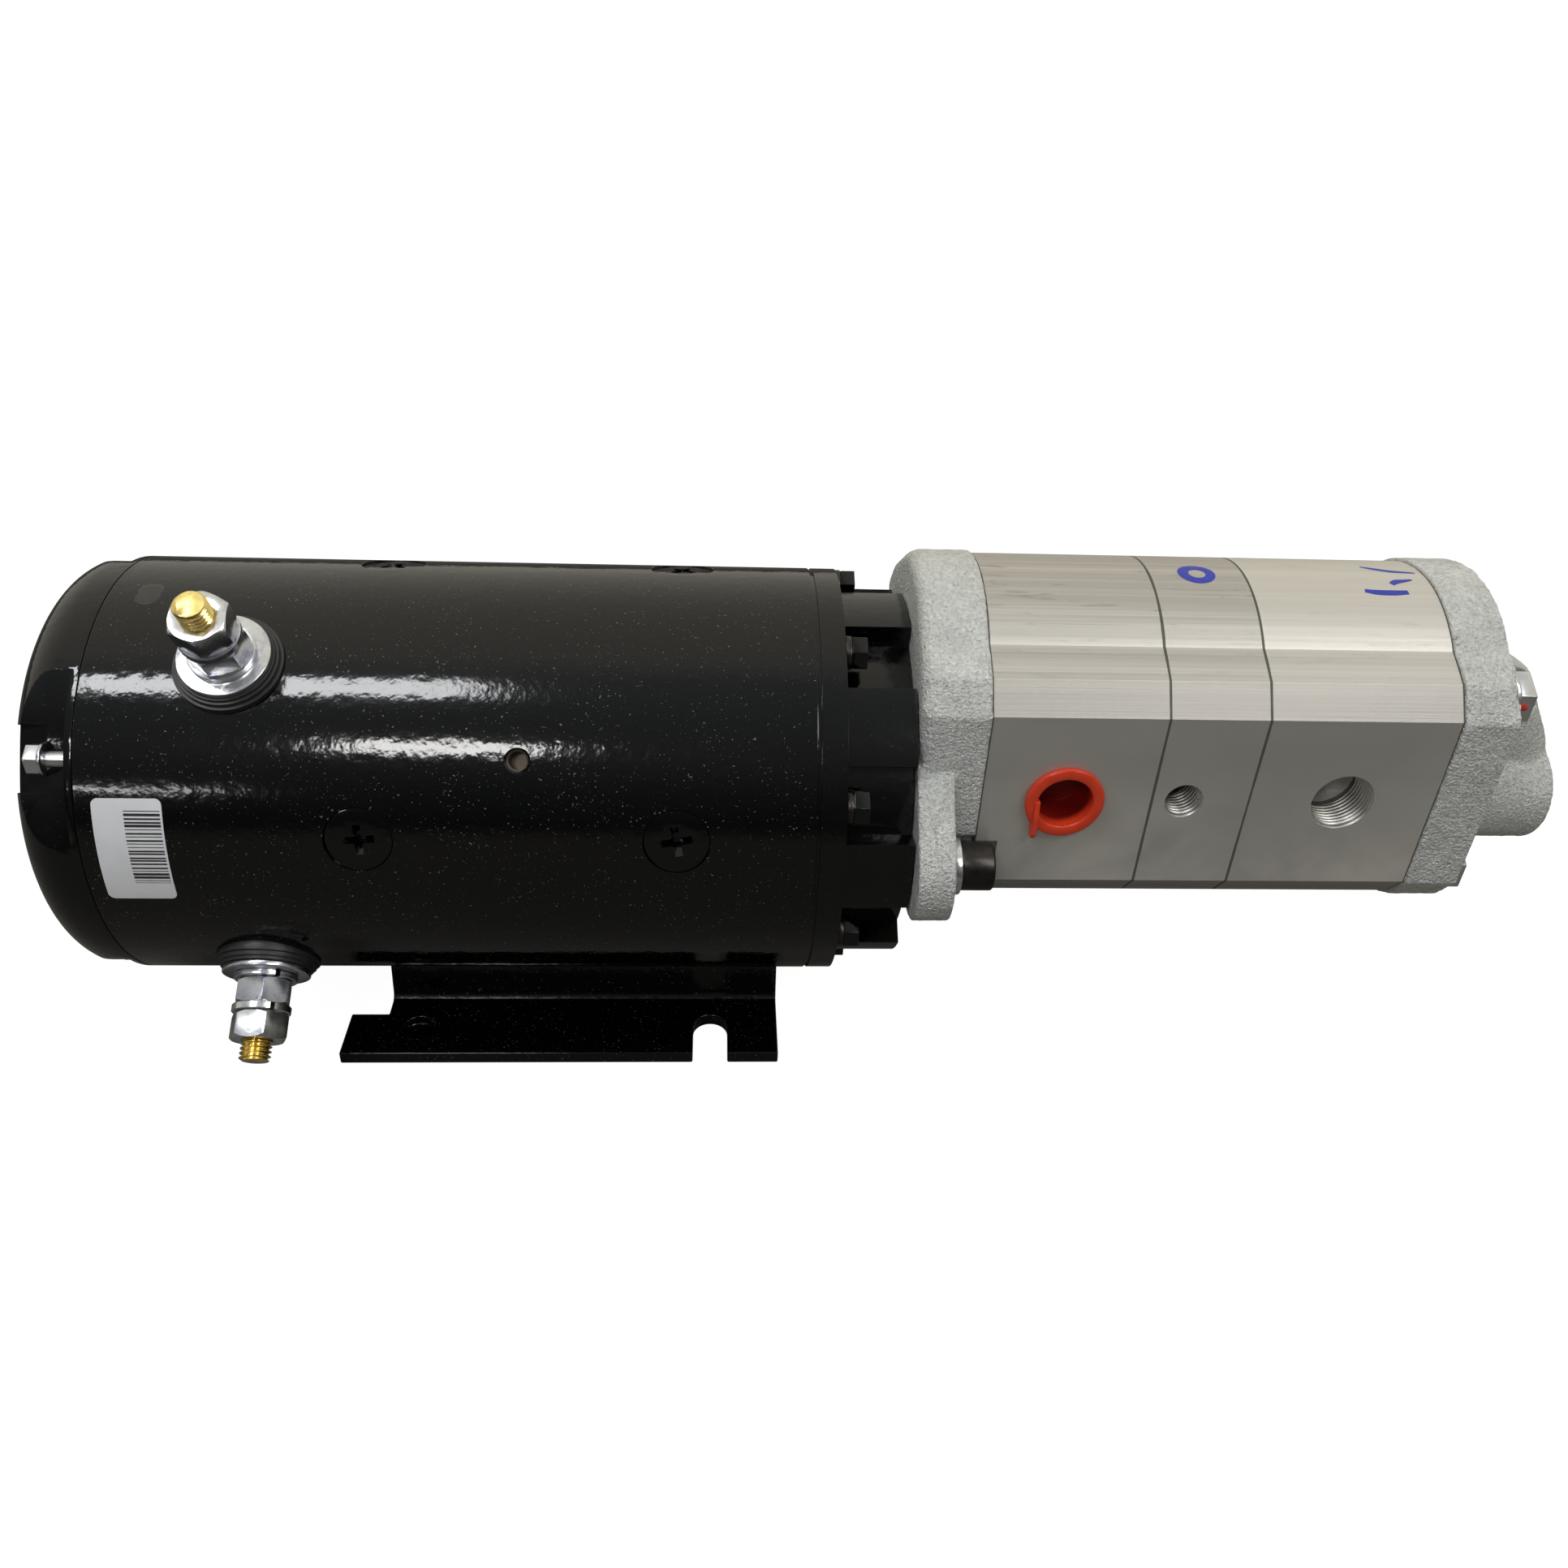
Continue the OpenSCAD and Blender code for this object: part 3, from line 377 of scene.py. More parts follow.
MATERIALS = {
    "gloss_black": black_paint("gloss_black_paint"),
    "gloss_black_clean": black_paint("gloss_black_casting", specks=0.35, peel=1.3),
    "drive_end_paint": black_paint("drive_end_paint", specks=0.4, peel=1.2, roughness=0.10),
    "extruded_aluminium": extruded_skin("extruded_aluminium_skin"),
    "cast_aluminium": cast_skin("cast_aluminium_skin"),
    "zinc": plated("zinc_plate", low=(0.60, 0.62, 0.63), high=(0.88, 0.89, 0.90),
                   roughness=0.16, stain=(0.50, 0.49, 0.62), bump=0.3),
    "zinc_dull": plated("zinc_plate_dull", low=(0.55, 0.57, 0.58), high=(0.80, 0.81, 0.82),
                        roughness=0.24),
    "brass": plated("yellow_plate", low=(0.78, 0.55, 0.14), high=(0.98, 0.80, 0.34),
                    roughness=0.13),
    "brass_plain": plated("bronze_plain", low=(0.55, 0.38, 0.15), high=(0.72, 0.53, 0.25),
                          roughness=0.26),
    "black_oxide": plated("black_oxide_steel", low=(0.030, 0.027, 0.025),
                          high=(0.085, 0.078, 0.072), roughness=0.28),
    "steel": plated("bright_steel", low=(0.42, 0.43, 0.44), high=(0.66, 0.67, 0.68),
                    roughness=0.20),
    "copper": plated("enamelled_copper", low=(0.50, 0.20, 0.08), high=(0.80, 0.40, 0.20),
                     roughness=0.26),
    "black_rubber": plastic("black_rubber_skin", low=(0.010, 0.010, 0.010),
                            high=(0.026, 0.026, 0.027), roughness=0.34, span=0.22,
                            scale=420, bump=0.25, depth=0.00012),
    "green_gasket": plastic("gasket_sheet", low=(0.010, 0.16, 0.13), high=(0.03, 0.28, 0.23),
                            roughness=0.50, span=0.2, scale=700, bump=0.3, depth=0.0001),
    # the plain cap red comes first, so that the plug's red is named red_plastic_cap.001
    "red_plastic_flat": plastic("red_plastic_cap", low=(0.58, 0.028, 0.010),
                                high=(0.78, 0.060, 0.018), roughness=0.26, span=0.16,
                                scale=180, bump=0.12, coat=0.15, glow=0.08),
    "label_film": label_film("label_film_print"),
    "carbon": plastic("carbon_brush", low=(0.030, 0.030, 0.031), high=(0.075, 0.073, 0.070),
                      roughness=0.46, span=0.2, scale=900, bump=0.3),
    "phenolic": plastic("phenolic_board", low=(0.16, 0.08, 0.035), high=(0.30, 0.16, 0.07),
                        roughness=0.40, span=0.15, scale=240, bump=0.2),
    "blue_ink": plastic("blue_ink", low=(0.012, 0.020, 0.30), high=(0.035, 0.05, 0.48),
                        roughness=0.34, span=0.2, scale=900, bump=0.2, depth=0.00003),
    "bore_alu": plated("bore_alu", low=(0.46, 0.45, 0.42), high=(0.66, 0.645, 0.60),
                       roughness=0.36),
    # dull bore metal, and also the painted shade on the vent's closed floor
    "bore_dull_and_shade": plated("bore_dull_and_shade", low=(0.10, 0.088, 0.070), high=(0.22, 0.19, 0.145),
                        roughness=0.46),
    "plugged": plastic("plugged_spot_paint", low=(0.012, 0.012, 0.011),
                       high=(0.035, 0.033, 0.030), roughness=0.30, span=0.2, scale=500, bump=0.3),
    "red_ink": plastic("red_ink", low=(0.50, 0.02, 0.012), high=(0.70, 0.05, 0.03),
                       roughness=0.38, span=0.2, scale=900, bump=0.2, depth=0.00003),
    "red_plastic": plug_plastic("red_plastic_cap"),
}


# ---------------------------------------------------------------- mesh helpers
def add_object(name, mesh):
    added = bpy.data.objects.new(name, mesh)
    bpy.context.scene.collection.objects.link(added)
    return added


def set_material(mesh, material):
    mesh.materials.clear()
    mesh.materials.append(MATERIALS[material])


def add_part(name, mesh, material, replaces=None, body="housing"):
    mesh.name = name
    part = add_object(name, mesh)
    set_material(mesh, material)
    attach(part, body)
    if replaces:
        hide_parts(replaces)
    return part


def shade(mesh, sharp):
    """Smooth shading with edges over `sharp` degrees kept crisp; 0 is all flat."""
    bm = bmesh.new()
    bm.from_mesh(mesh)
    for face in bm.faces:
        face.smooth = sharp > 0
    for edge in bm.edges:
        if len(edge.link_faces) == 2:
            edge.smooth = edge.calc_face_angle(0.0) < math.radians(sharp)
    bm.to_mesh(mesh)
    bm.free()
    mesh.update()


def new_mesh(verts, faces, sharp=35.0):
    mesh = bpy.data.meshes.new("piece")
    mesh.from_pydata([tuple(vert) for vert in verts], [], faces)
    mesh.update()
    bm = bmesh.new()
    bm.from_mesh(mesh)
    bmesh.ops.recalc_face_normals(bm, faces=bm.faces)
    bm.to_mesh(mesh)
    bm.free()
    shade(mesh, sharp)
    return mesh


def axis_frame(origin, axis):
    """Origin, axis and two directions across it."""
    along = Vector(axis).normalized()
    across = Vector((1, 0, 0)) if abs(along.x) < 0.9 else Vector((0, 1, 0))
    across = (across - along * across.dot(along)).normalized()
    return Vector(origin), along, across, along.cross(across)


def polar(frame, angle, radius, height):
    """A point in metres, from a radius and a height in mm."""
    origin, along, across, third = frame
    spoke = across * math.cos(angle) + third * math.sin(angle)
    return origin + along * (height / 1000) + spoke * (radius / 1000)


def lathe(profile, origin, axis, segments, closed=False, sharp=35.0):
    """profile: (radius, height along the axis) in mm; radius 0 makes a pole."""
    frame = axis_frame(origin, axis)
    verts, rings, faces = [], [], []
    for radius, height in profile + profile[:1] if closed else profile:
        count = segments if radius > 1e-6 else 1
        rings.append(range(len(verts), len(verts) + count))
        verts += [polar(frame, TURN * i / segments, radius, height) for i in range(count)]
    for lower, upper in zip(rings, rings[1:]):
        for i in range(segments):
            j = (i + 1) % segments
            if len(lower) == 1 and len(upper) == 1:
                continue
            if len(lower) == 1:
                faces.append((lower[0], upper[i], upper[j]))
            elif len(upper) == 1:
                faces.append((lower[i], upper[0], lower[j]))
            else:
                faces.append((lower[i], upper[i], upper[j], lower[j]))
    mesh = new_mesh(verts, faces)
    bm = bmesh.new()
    bm.from_mesh(mesh)
    bmesh.ops.remove_doubles(bm, verts=bm.verts, dist=1e-8)
    bmesh.ops.recalc_face_normals(bm, faces=bm.faces)
    bm.to_mesh(mesh)
    bm.free()
    shade(mesh, sharp)
    return mesh


def cylinder(radius, start, end, origin, axis, segments):
    profile = [(0, start), (radius, start), (radius, end), (0, end)]
    return lathe(profile, origin, axis, segments)


def slab(bottom, top):
    """A flat-shaded solid between two matching outlines."""
    n = len(bottom)
    sides = [(i, (i + 1) % n, n + (i + 1) % n, n + i) for i in range(n)]
    return new_mesh(bottom + top, [tuple(range(n)), tuple(range(n, 2 * n))] + sides, 0.0)


def box(low, high):
    verts = [(x, y, z) for x in (low[0], high[0]) for y in (low[1], high[1])
             for z in (low[2], high[2])]
    faces = [(0, 1, 3, 2), (4, 6, 7, 5), (0, 4, 5, 1), (2, 3, 7, 6), (0, 2, 6, 4), (1, 5, 7, 3)]
    return new_mesh(verts, faces, 0.0)


def fillet(corners, steps=5):
    """Rounds a closed outline; corners: (y, z, radius)."""
    points = [Vector(corner[:2]) for corner in corners]
    rounded = []
    for i, (point, corner) in enumerate(zip(points, corners)):
        radius = corner[2]
        if radius <= 0:
            rounded.append(tuple(point))
            continue
        back = (points[i - 1] - point).normalized()
        ahead = (points[(i + 1) % len(points)] - point).normalized()
        half = back.angle(ahead) / 2
        reach = radius / math.tan(half)
        centre = point + (back + ahead).normalized() * (radius / math.sin(half))
        first = point + back * reach - centre
        last = point + ahead * reach - centre
        sweep = first.angle_signed(last)
        for step in range(steps + 1):
            angle = -sweep * step / steps
            cos, sin = math.cos(angle), math.sin(angle)
            rounded.append((centre.x + first.x * cos - first.y * sin,
                            centre.y + first.x * sin + first.y * cos))
    return rounded


def join(meshes):
    bm = bmesh.new()
    for mesh in meshes:
        bm.from_mesh(mesh)
    joined = bpy.data.meshes.new("joined")
    bm.to_mesh(joined)
    bm.free()
    return joined


def applied(holder):
    """The mesh of a holder object with its modifiers applied."""
    bpy.context.view_layer.update()
    graph = bpy.context.evaluated_depsgraph_get()
    return bpy.data.meshes.new_from_object(holder.evaluated_get(graph))


def cut(mesh, cutters):
    holder = add_object("holder", mesh)
    tools = [add_object("tool", cutter) for cutter in cutters]
    for tool in tools:
        boolean = holder.modifiers.new("cut", "BOOLEAN")
        boolean.operation = "DIFFERENCE"
        boolean.solver = "EXACT"
        boolean.object = tool
    result = applied(holder)
    for used in tools + [holder]:
        bpy.data.objects.remove(used)
    return result


def smooth_faces(mesh):
    for face in mesh.polygons:
        face.use_smooth = True


def bevelled(mesh, width, segments, angle):
    """The mesh with edges over `angle` degrees rounded by `width` mm."""
    smooth_faces(mesh)
    holder = add_object("holder", mesh)
    bevel = holder.modifiers.new("edge", "BEVEL")
    bevel.width = width / 1000
    bevel.segments = segments
    bevel.limit_method = "ANGLE"
    bevel.angle_limit = math.radians(angle)
    bevel.harden_normals = True
    result = applied(holder)
    bpy.data.objects.remove(holder)
    return result


def cad_mesh(node, dissolve):
    bm = bmesh.new()
    bm.from_mesh(NODES[node].data)
    bmesh.ops.remove_doubles(bm, verts=bm.verts, dist=3e-6)
    bmesh.ops.recalc_face_normals(bm, faces=bm.faces)
    if dissolve:
        bmesh.ops.dissolve_limit(bm, angle_limit=math.radians(0.35), verts=bm.verts,
                                 edges=bm.edges)
    mesh = bpy.data.meshes.new(node + "_skin")
    bm.to_mesh(mesh)
    bm.free()
    return mesh


def add_skin(node, mesh, material):
    return add_part(node + "_skin", mesh, material, node, NODES[node]["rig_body"])


def refine(node, material, width, segments=2, angle=33.0):
    """Replaces a CAD node by a copy with rounded edges."""
    mesh = bevelled(cad_mesh(node, dissolve=True), width, segments, angle)
    return add_skin(node, mesh, material)


def roughcast(node, rounds, voxel=0.55, height=0.11, scale=620.0):
    """Replaces a CAD node by a copy remeshed, softened and roughened; voxel, height in mm."""
    holder = add_object("holder", cad_mesh(node, dissolve=False))
    remesh = holder.modifiers.new("remesh", "REMESH")
    remesh.mode = "VOXEL"
    remesh.voxel_size = voxel / 1000
    remesh.use_smooth_shade = True
    soften = holder.modifiers.new("soft", "SMOOTH")
    soften.factor = 0.5
    soften.iterations = rounds
    mesh = applied(holder)
    bpy.data.objects.remove(holder)
    spots = np.array([vert.co for vert in mesh.vertices], float)
    normals = np.array([vert.normal for vert in mesh.vertices], float)
    bumps = np.array([noise.noise(vert.co * scale) + 0.5 * noise.noise(vert.co * scale * 2.3)
                      for vert in mesh.vertices])
    spots += normals * (bumps * height / 1000)[:, None]
    mesh.vertices.foreach_set("co", spots.ravel())
    smooth_faces(mesh)
    mesh.update()
    add_skin(node, mesh, "cast_aluminium")


def thread(origin, axis, radius, depth, pitch, start, end, per_turn=10, tip=None):
    """A helical thread: a solid stud with its end chamfered by tip, or without tip a thin
    sleeve facing inwards."""
    frame = axis_frame(origin, axis)
    n = 72
    rows = int((end - start) / pitch * per_turn)
    verts, faces = [], []
    for row in range(rows + 1):
        height = start + (end - start) * row / rows
        for i in range(n):
            phase = (height / pitch - i / n) % 1.0
            groove = min(1.0, max(0.0, (abs(2 * phase - 1) - 0.12) / 0.72))
            if tip is None:
                reach = radius - depth * (1 - groove)
            else:
                reach = min(radius - depth * groove, radius - tip + (end - height))
            verts.append(polar(frame, TURN * i / n, reach, height))
    for row in range(rows):
        for i in range(n):
            j = (i + 1) % n
            faces.append((row * n + i, row * n + j, (row + 1) * n + j, (row + 1) * n + i))
    last = rows * n
    if tip is None:
        wall = len(verts)
        for height in (start, end):
            verts += [polar(frame, TURN * i / n, radius + 0.01, height) for i in range(n)]
        for i in range(n):
            j = (i + 1) % n
            faces.append((wall + i, wall + j, wall + n + j, wall + n + i))
            faces.append((i, j, wall + j, wall + i))
            faces.append((last + i, last + j, wall + n + j, wall + n + i))
    else:
        faces += [tuple(range(n)), tuple(range(last, last + n))]
    return new_mesh(verts, faces, 40.0)


def on_round(face, centre_z, radius, tolerance, facing):
    """Whether a face lies on a cylinder along X and looks outward from it."""
    y, z = face.center.y * 1000, face.center.z * 1000 - centre_z
    reach = math.hypot(y, z)
    return (abs(reach - radius) < tolerance
            and (face.normal.y * y + face.normal.z * z) / reach > facing)


def round_normals(mesh, radius, tolerance=0.25):
    """Exact round normals about the motor axis, for clean reflections in the paint."""
    mesh.update()
    normals = [corner.vector.copy() for corner in mesh.corner_normals]
    for face in mesh.polygons:
        if on_round(face, AXIS_Z, radius, tolerance, facing=0.97):
            for loop in face.loop_indices:
                spot = mesh.vertices[mesh.loops[loop].vertex_index].co
                normals[loop] = Vector((0, spot.y, spot.z - AXIS_Z / 1000)).normalized()
    mesh.normals_split_custom_set(normals)


# ---------------------------------------------------------------- motor tube and end parts
VENT = axis_at(-4.6), radial(34.3)           # small hole in the tube: origin and axis


def add_tube():
    tube = lathe([(BORE_R, -110), (TUBE_R - 0.45, -110), (TUBE_R - 0.15, -109.87),
                  (TUBE_R, -109.55), (TUBE_R, 68.6), (TUBE_R - 0.12, 68.88), (TUBE_R - 0.4, 69),
                  (BORE_R, 69)], axis_at(0), (1, 0, 0), 288, closed=True)
    countersink = [(0, BORE_R - 4), (5.1, BORE_R - 4), (5.1, TUBE_R - 3.8),
                   (8.38, TUBE_R - 0.85), (8.45, TUBE_R - 0.2), (8.85, TUBE_R + 0.15),
                   (8.85, TUBE_R + 4), (0, TUBE_R + 4)]
    cutters = [lathe(countersink, axis_at(x), radial(POLE_ANGLE + 90 * quarter), 64)
               for quarter in range(4) for x in POLE_X]
    cutters += [cylinder(9.05, BORE_R - 6, TUBE_R + 6, axis_at(TERMINAL_X), radial(angle), 48)
                for angle in TERMINAL_ANGLES]
    cutters.append(lathe([(0, BORE_R - 6), (2.7, BORE_R - 6), (2.7, TUBE_R - 0.5),
                          (3.3, TUBE_R + 0.05), (3.3, TUBE_R + 5), (0, TUBE_R + 5)], *VENT, 40))
    tube = cut(tube, cutters)
    shade(tube, 38.0)
    round_normals(tube, TUBE_R)
    add_part("motor_tube_skin", tube, "gloss_black", "motor_tube")


add_tube()
# painted shade: the liner's closed dark floor stands in for the dim motor inside the vent hole
vent_liner_and_shade_floor = [(0, TUBE_R - 5.6), (2.68, TUBE_R - 5.5), (2.68, TUBE_R - 0.55),
              (2.25, TUBE_R - 0.9), (2.1, TUBE_R - 5.2), (0, TUBE_R - 5.3)]
add_part("vent_bore_and_shade_floor", lathe(vent_liner_and_shade_floor, *VENT, 40), "bore_dull_and_shade")

refine("commutator_end_cap", "gloss_black_clean", width=0.55, segments=3, angle=40.0)
drive_end = refine("drive_end_housing", "drive_end_paint", width=0.7, segments=3,
                   angle=36.0)
for step_radius in (52.1, TUBE_R - 0.05, TUBE_R - 0.9):
    round_normals(drive_end.data, step_radius, tolerance=0.12)
refine("end_cap_screws", "zinc_dull", width=0.3)
refine("end_cap_washers", "zinc", width=0.15)
refine("drive_end_screws", "gloss_black_clean", width=0.35)
refine("drive_end_lock_washers", "black_oxide", width=0.2)


# ---------------------------------------------------------------- countersunk pole screws
def recess_wing(length, width, bottom, turn):
    """A tapered block; length and width: half sizes at the bottom and top."""
    cos, sin = math.cos(turn), math.sin(turn)
    ends = []
    for half_x, half_y, z in zip(length, width, (bottom, TUBE_R + 0.8)):
        corners = [(sx * half_x, sy * half_y) for sx, sy in ((-1, -1), (1, -1), (1, 1), (-1, 1))]
        ends.append([((x * cos - y * sin) / 1000, (x * sin + y * cos) / 1000, z / 1000)
                     for x, y in corners])
    return slab(*ends)


def add_pole_screws():
    head = lathe([(0, 39.6), (3.9, 39.6), (3.9, TUBE_R - 3.95), (4.9, TUBE_R - 3.8),
                  (8.0, TUBE_R - 1.05), (8.2, TUBE_R - 0.88), (8.15, TUBE_R - 0.72),
                  (7.8, TUBE_R - 0.62), (4.0, TUBE_R - 0.45), (0, TUBE_R - 0.42)],
                 (0, 0, 0), (0, 0, 1), 64)
    wing = (1.2, 5.0), (0.75, 1.05), TUBE_R - 3.6
    head = cut(head, [recess_wing(*wing, 0.0), recess_wing(*wing, math.pi / 2),
                      recess_wing((1.1, 1.9), (1.1, 1.9), TUBE_R - 3.4, math.pi / 4)])
    shade(head, 33.0)
    screws = []
    for quarter in range(4):
        for i, x in enumerate(POLE_X):
            outward = radial(POLE_ANGLE + 90 * quarter)
            tilt = Vector((0, 0, 1)).rotation_difference(outward).to_matrix().to_4x4()
            spin = Matrix.Rotation(0.06 + 0.11 * i + 0.7 * quarter, 4, "Z")
            screw = head.copy()
            screw.transform(Matrix.Translation(axis_at(x)) @ tilt @ spin)
            screws.append(screw)
    screws = join(screws)
    shade(screws, 33.0)
    add_part("pole_screws_skin", screws, "gloss_black_clean", "pole_screws")


add_pole_screws()


# ---------------------------------------------------------------- mounting bracket, bent sheet
def add_bracket():
    half_width, sheet, half_length = 46.8, 4, 62.5
    under = AXIS_Z - TUBE_R - sheet          # underside of the raised middle
    outline = fillet([                       # y, z, corner radius
        (-half_width, 0, 0), (-half_width, sheet, 0), (-24.1, sheet, 2.2), (-21, 21, 0),
        (21, 21, 0), (24.1, sheet, 2.2), (half_width, sheet, 0), (half_width, 0, 0),
        (21.4, 0, 5.0), (19.2, under, 2.5), (-19.2, under, 2.5), (-21.4, 0, 5.0)])
    bracket = slab([place(-half_length, y, z) for y, z in outline],
                   [place(half_length, y, z) for y, z in outline])
    cutters = [cylinder(TUBE_R + 0.02, -80, 80, axis_at(0), (1, 0, 0), 192),
               box(place(-64, -30.8, -3), place(-51.7, 30.8, 60))]
    slot_x, slot_r = 42.8, 5.0               # slots at +X, open to the sides
    for side in (-1, 1):
        slot = [(slot_x + slot_r * math.cos(t), side * (HOLE_Y - slot_r * math.sin(t)))
                for t in np.linspace(0, math.pi, 17)]
        slot += [(slot_x - slot_r, side * 60), (slot_x + slot_r, side * 60)]
        cutters.append(slab([place(x, y, -3) for x, y in slot], [place(x, y, 8) for x, y in slot]))
        cutters.append(cylinder(4.5, -3, 8, place(-HOLE_X, side * HOLE_Y, 0), (0, 0, 1), 48))
    bracket = bevelled(cut(bracket, cutters), width=0.7, segments=3, angle=40)
    add_part("mounting_bracket_skin", bracket, "gloss_black", "mounting_bracket")


add_bracket()

# ---------------------------------------------------------------- terminals
refine("terminal_insulators", "black_rubber", width=0.55, segments=3, angle=30.0)
refine("terminal_flat_washers", "zinc", width=0.35, segments=3)
refine("terminal_nuts", "zinc", width=0.22, angle=25.0)


def lock_washer(frame, bottom, outer, thickness):
    """A split ring with its ends sprung apart; thickness scales the section's height."""
    section = [(4.15, 0.1), (4.3, 0.0), (outer - 0.25, 0.0), (outer, 0.25),   # radius, height
               (outer, 1.8), (outer - 0.25, 2.05), (4.3, 2.05), (4.15, 1.9)]
    verts, faces = [], []
    n = 60
    gap = math.radians(9)
    for i in range(n + 1):
        angle = 0.9 + gap / 2 + (TURN - gap) * i / n
        lift = 0.35 * (i / n - 0.5)
        for radius, height in section:
            height = bottom + height * thickness + lift * 0.22 + 0.05
            verts.append(polar(frame, angle, radius, height))
    for i in range(n):
        for j in range(8):
            k = (j + 1) % 8
            faces.append((i * 8 + j, i * 8 + k, (i + 1) * 8 + k, (i + 1) * 8 + j))
    faces += [tuple(range(8)), tuple(range(n * 8, n * 8 + 8))]
    return new_mesh(verts, faces, 30.0)


studs, lock_washers = [], []
stud_head = [(0, 36.6), (6.2, 36.6), (6.5, 36.9), (6.5, 40.6), (6.2, 40.9), (3.6, 40.9),
             (3.6, 42.7), (0, 42.7)]
for terminal_angle in TERMINAL_ANGLES:
    line = axis_at(TERMINAL_X), radial(terminal_angle)
    studs.append(thread(*line, radius=3.95, depth=0.78, pitch=1.25, start=42.6,
                        end=TUBE_R + 27.2, per_turn=14, tip=0.5))
    studs.append(lathe(stud_head, *line, 48))
    line = axis_frame(*line)
    lock_washers.append(lock_washer(line, bottom=TUBE_R + 4.5, outer=8.0, thickness=0.74))
    lock_washers.append(lock_washer(line, bottom=TUBE_R + 12.7, outer=7.4, thickness=1.02))
add_part("terminal_studs_skin", join(studs), "brass", "terminal_studs")
add_part("terminal_lock_washers_skin", join(lock_washers), "zinc", "terminal_lock_washers")

# ---------------------------------------------------------------- pump
CROWN_Z = PUMP_Z + 13.0                      # centre of the crown arc
BELLY_Z = PUMP_Z - 10.0                      # centre of the lower arc

roughcast("pump_front_cover", rounds=6)
roughcast("rear_cover", rounds=7)


def section_normals(mesh):
    """Round normals on both arcs and flat ones on the large flats, as on a clean extrusion."""
    mesh.update()
    normals = [corner.vector.copy() for corner in mesh.corner_normals]
    for face in mesh.polygons:
        side = abs(face.normal.x) < 0.05 and face.area > 4e-7
        end = abs(face.normal.x) > 0.999
        arcs = [z for z in (CROWN_Z, BELLY_Z)
                if side and on_round(face, z, 36.68, tolerance=0.08, facing=0.995)]
        for loop in face.loop_indices:
            if arcs:
                spot = mesh.vertices[mesh.loops[loop].vertex_index].co
                outward = Vector((0, spot.y * 1000, spot.z * 1000 - arcs[-1]))
                normals[loop] = outward.normalized()
            elif (side or end) and face.area > 3e-6:
                normals[loop] = face.normal.copy()
    mesh.normals_split_custom_set(normals)


for section_name in ("pump_body_front", "centre_section", "pump_body_rear"):
    section_normals(refine(section_name, "extruded_aluminium",
                           width=0.30, angle=20.0).data)
refine("flange_cap_screws", "black_oxide", width=0.7, segments=3)
refine("flange_washers", "zinc", width=0.3)
refine("through_bolts", "zinc_dull", width=0.5)
refine("through_bolt_washers", "zinc_dull", width=0.3)

threads = []
for port_x, port_r in ((LARGE_PORT_X, 8.3), (SMALL_PORT_X, 5.1)):
    port = place(port_x, PORT_FACE_Y, PORT_Z), (0, 1, 0)
    threads.append(thread(*port, radius=port_r - 0.02, depth=0.42, pitch=1.25, start=1.0, end=10.5))
    threads.append(lathe([(port_r - 0.02, 0.12), (port_r, 0.45), (port_r - 0.35, 1.0),
                          (port_r - 0.30, 0.5)], *port, 72, closed=True))
threads.append(thread(place(BOSS_X, -21, PUMP_Z - 4.7), (-1, 0, 0), radius=8.28, depth=0.42,
                      pitch=1.4, start=1.4, end=15.5))
add_part("port_threads", join(threads), "bore_alu")


def add_plug():
    """Red port plug: a hollow cup with a flange ring, and a pull tab beside it."""
    def lip(radius, angles):
        return [(radius + 0.5 * math.cos(math.radians(angle)),
                 1.3 + 0.5 * math.sin(math.radians(angle))) for angle in angles]

    cup = [(0, -11.4), (7.9, -11.4), (8.2, -11.1), (8.2, 0.02), (10.1, 0.05), (10.3, 0.35),
           *lip(9.8, (5, 45, 85)), *lip(7.75, (95, 130, 170)),
           (7.25, 1.15), (7.25, 0.2), (7.05, -9.5), (6.7, -9.9), (0, -9.9)]
    cup = lathe(cup, place(PLUG_X, PORT_FACE_Y, PORT_Z), (0, -1, 0), 80, sharp=40.0)
    outline = [(0.6, 0.2), (0.6, 2.0), (-4.0, 2.7), (-9.4, 2.9),   # height, distance out
               (-10.5, 2.3), (-10.7, 0.6), (-10.3, 0.25)]
    tab = slab(*([place(PLUG_X - back, PORT_FACE_Y - out, PORT_Z + up) for up, out in outline]
                 for back in (7.9, 6.5)))
    tab = bevelled(tab, width=0.35, segments=2, angle=30)
    add_part("port_plug_skin", join([cup, tab]), "red_plastic", "port_plug", "plug")


add_plug()


# ---------------------------------------------------------------- ink marks on the pump's crown
def on_crown(x, y, lift):
    return place(x, y, CROWN_Z + math.sqrt(max(0.0, 36.7 ** 2 - y * y)) + lift)


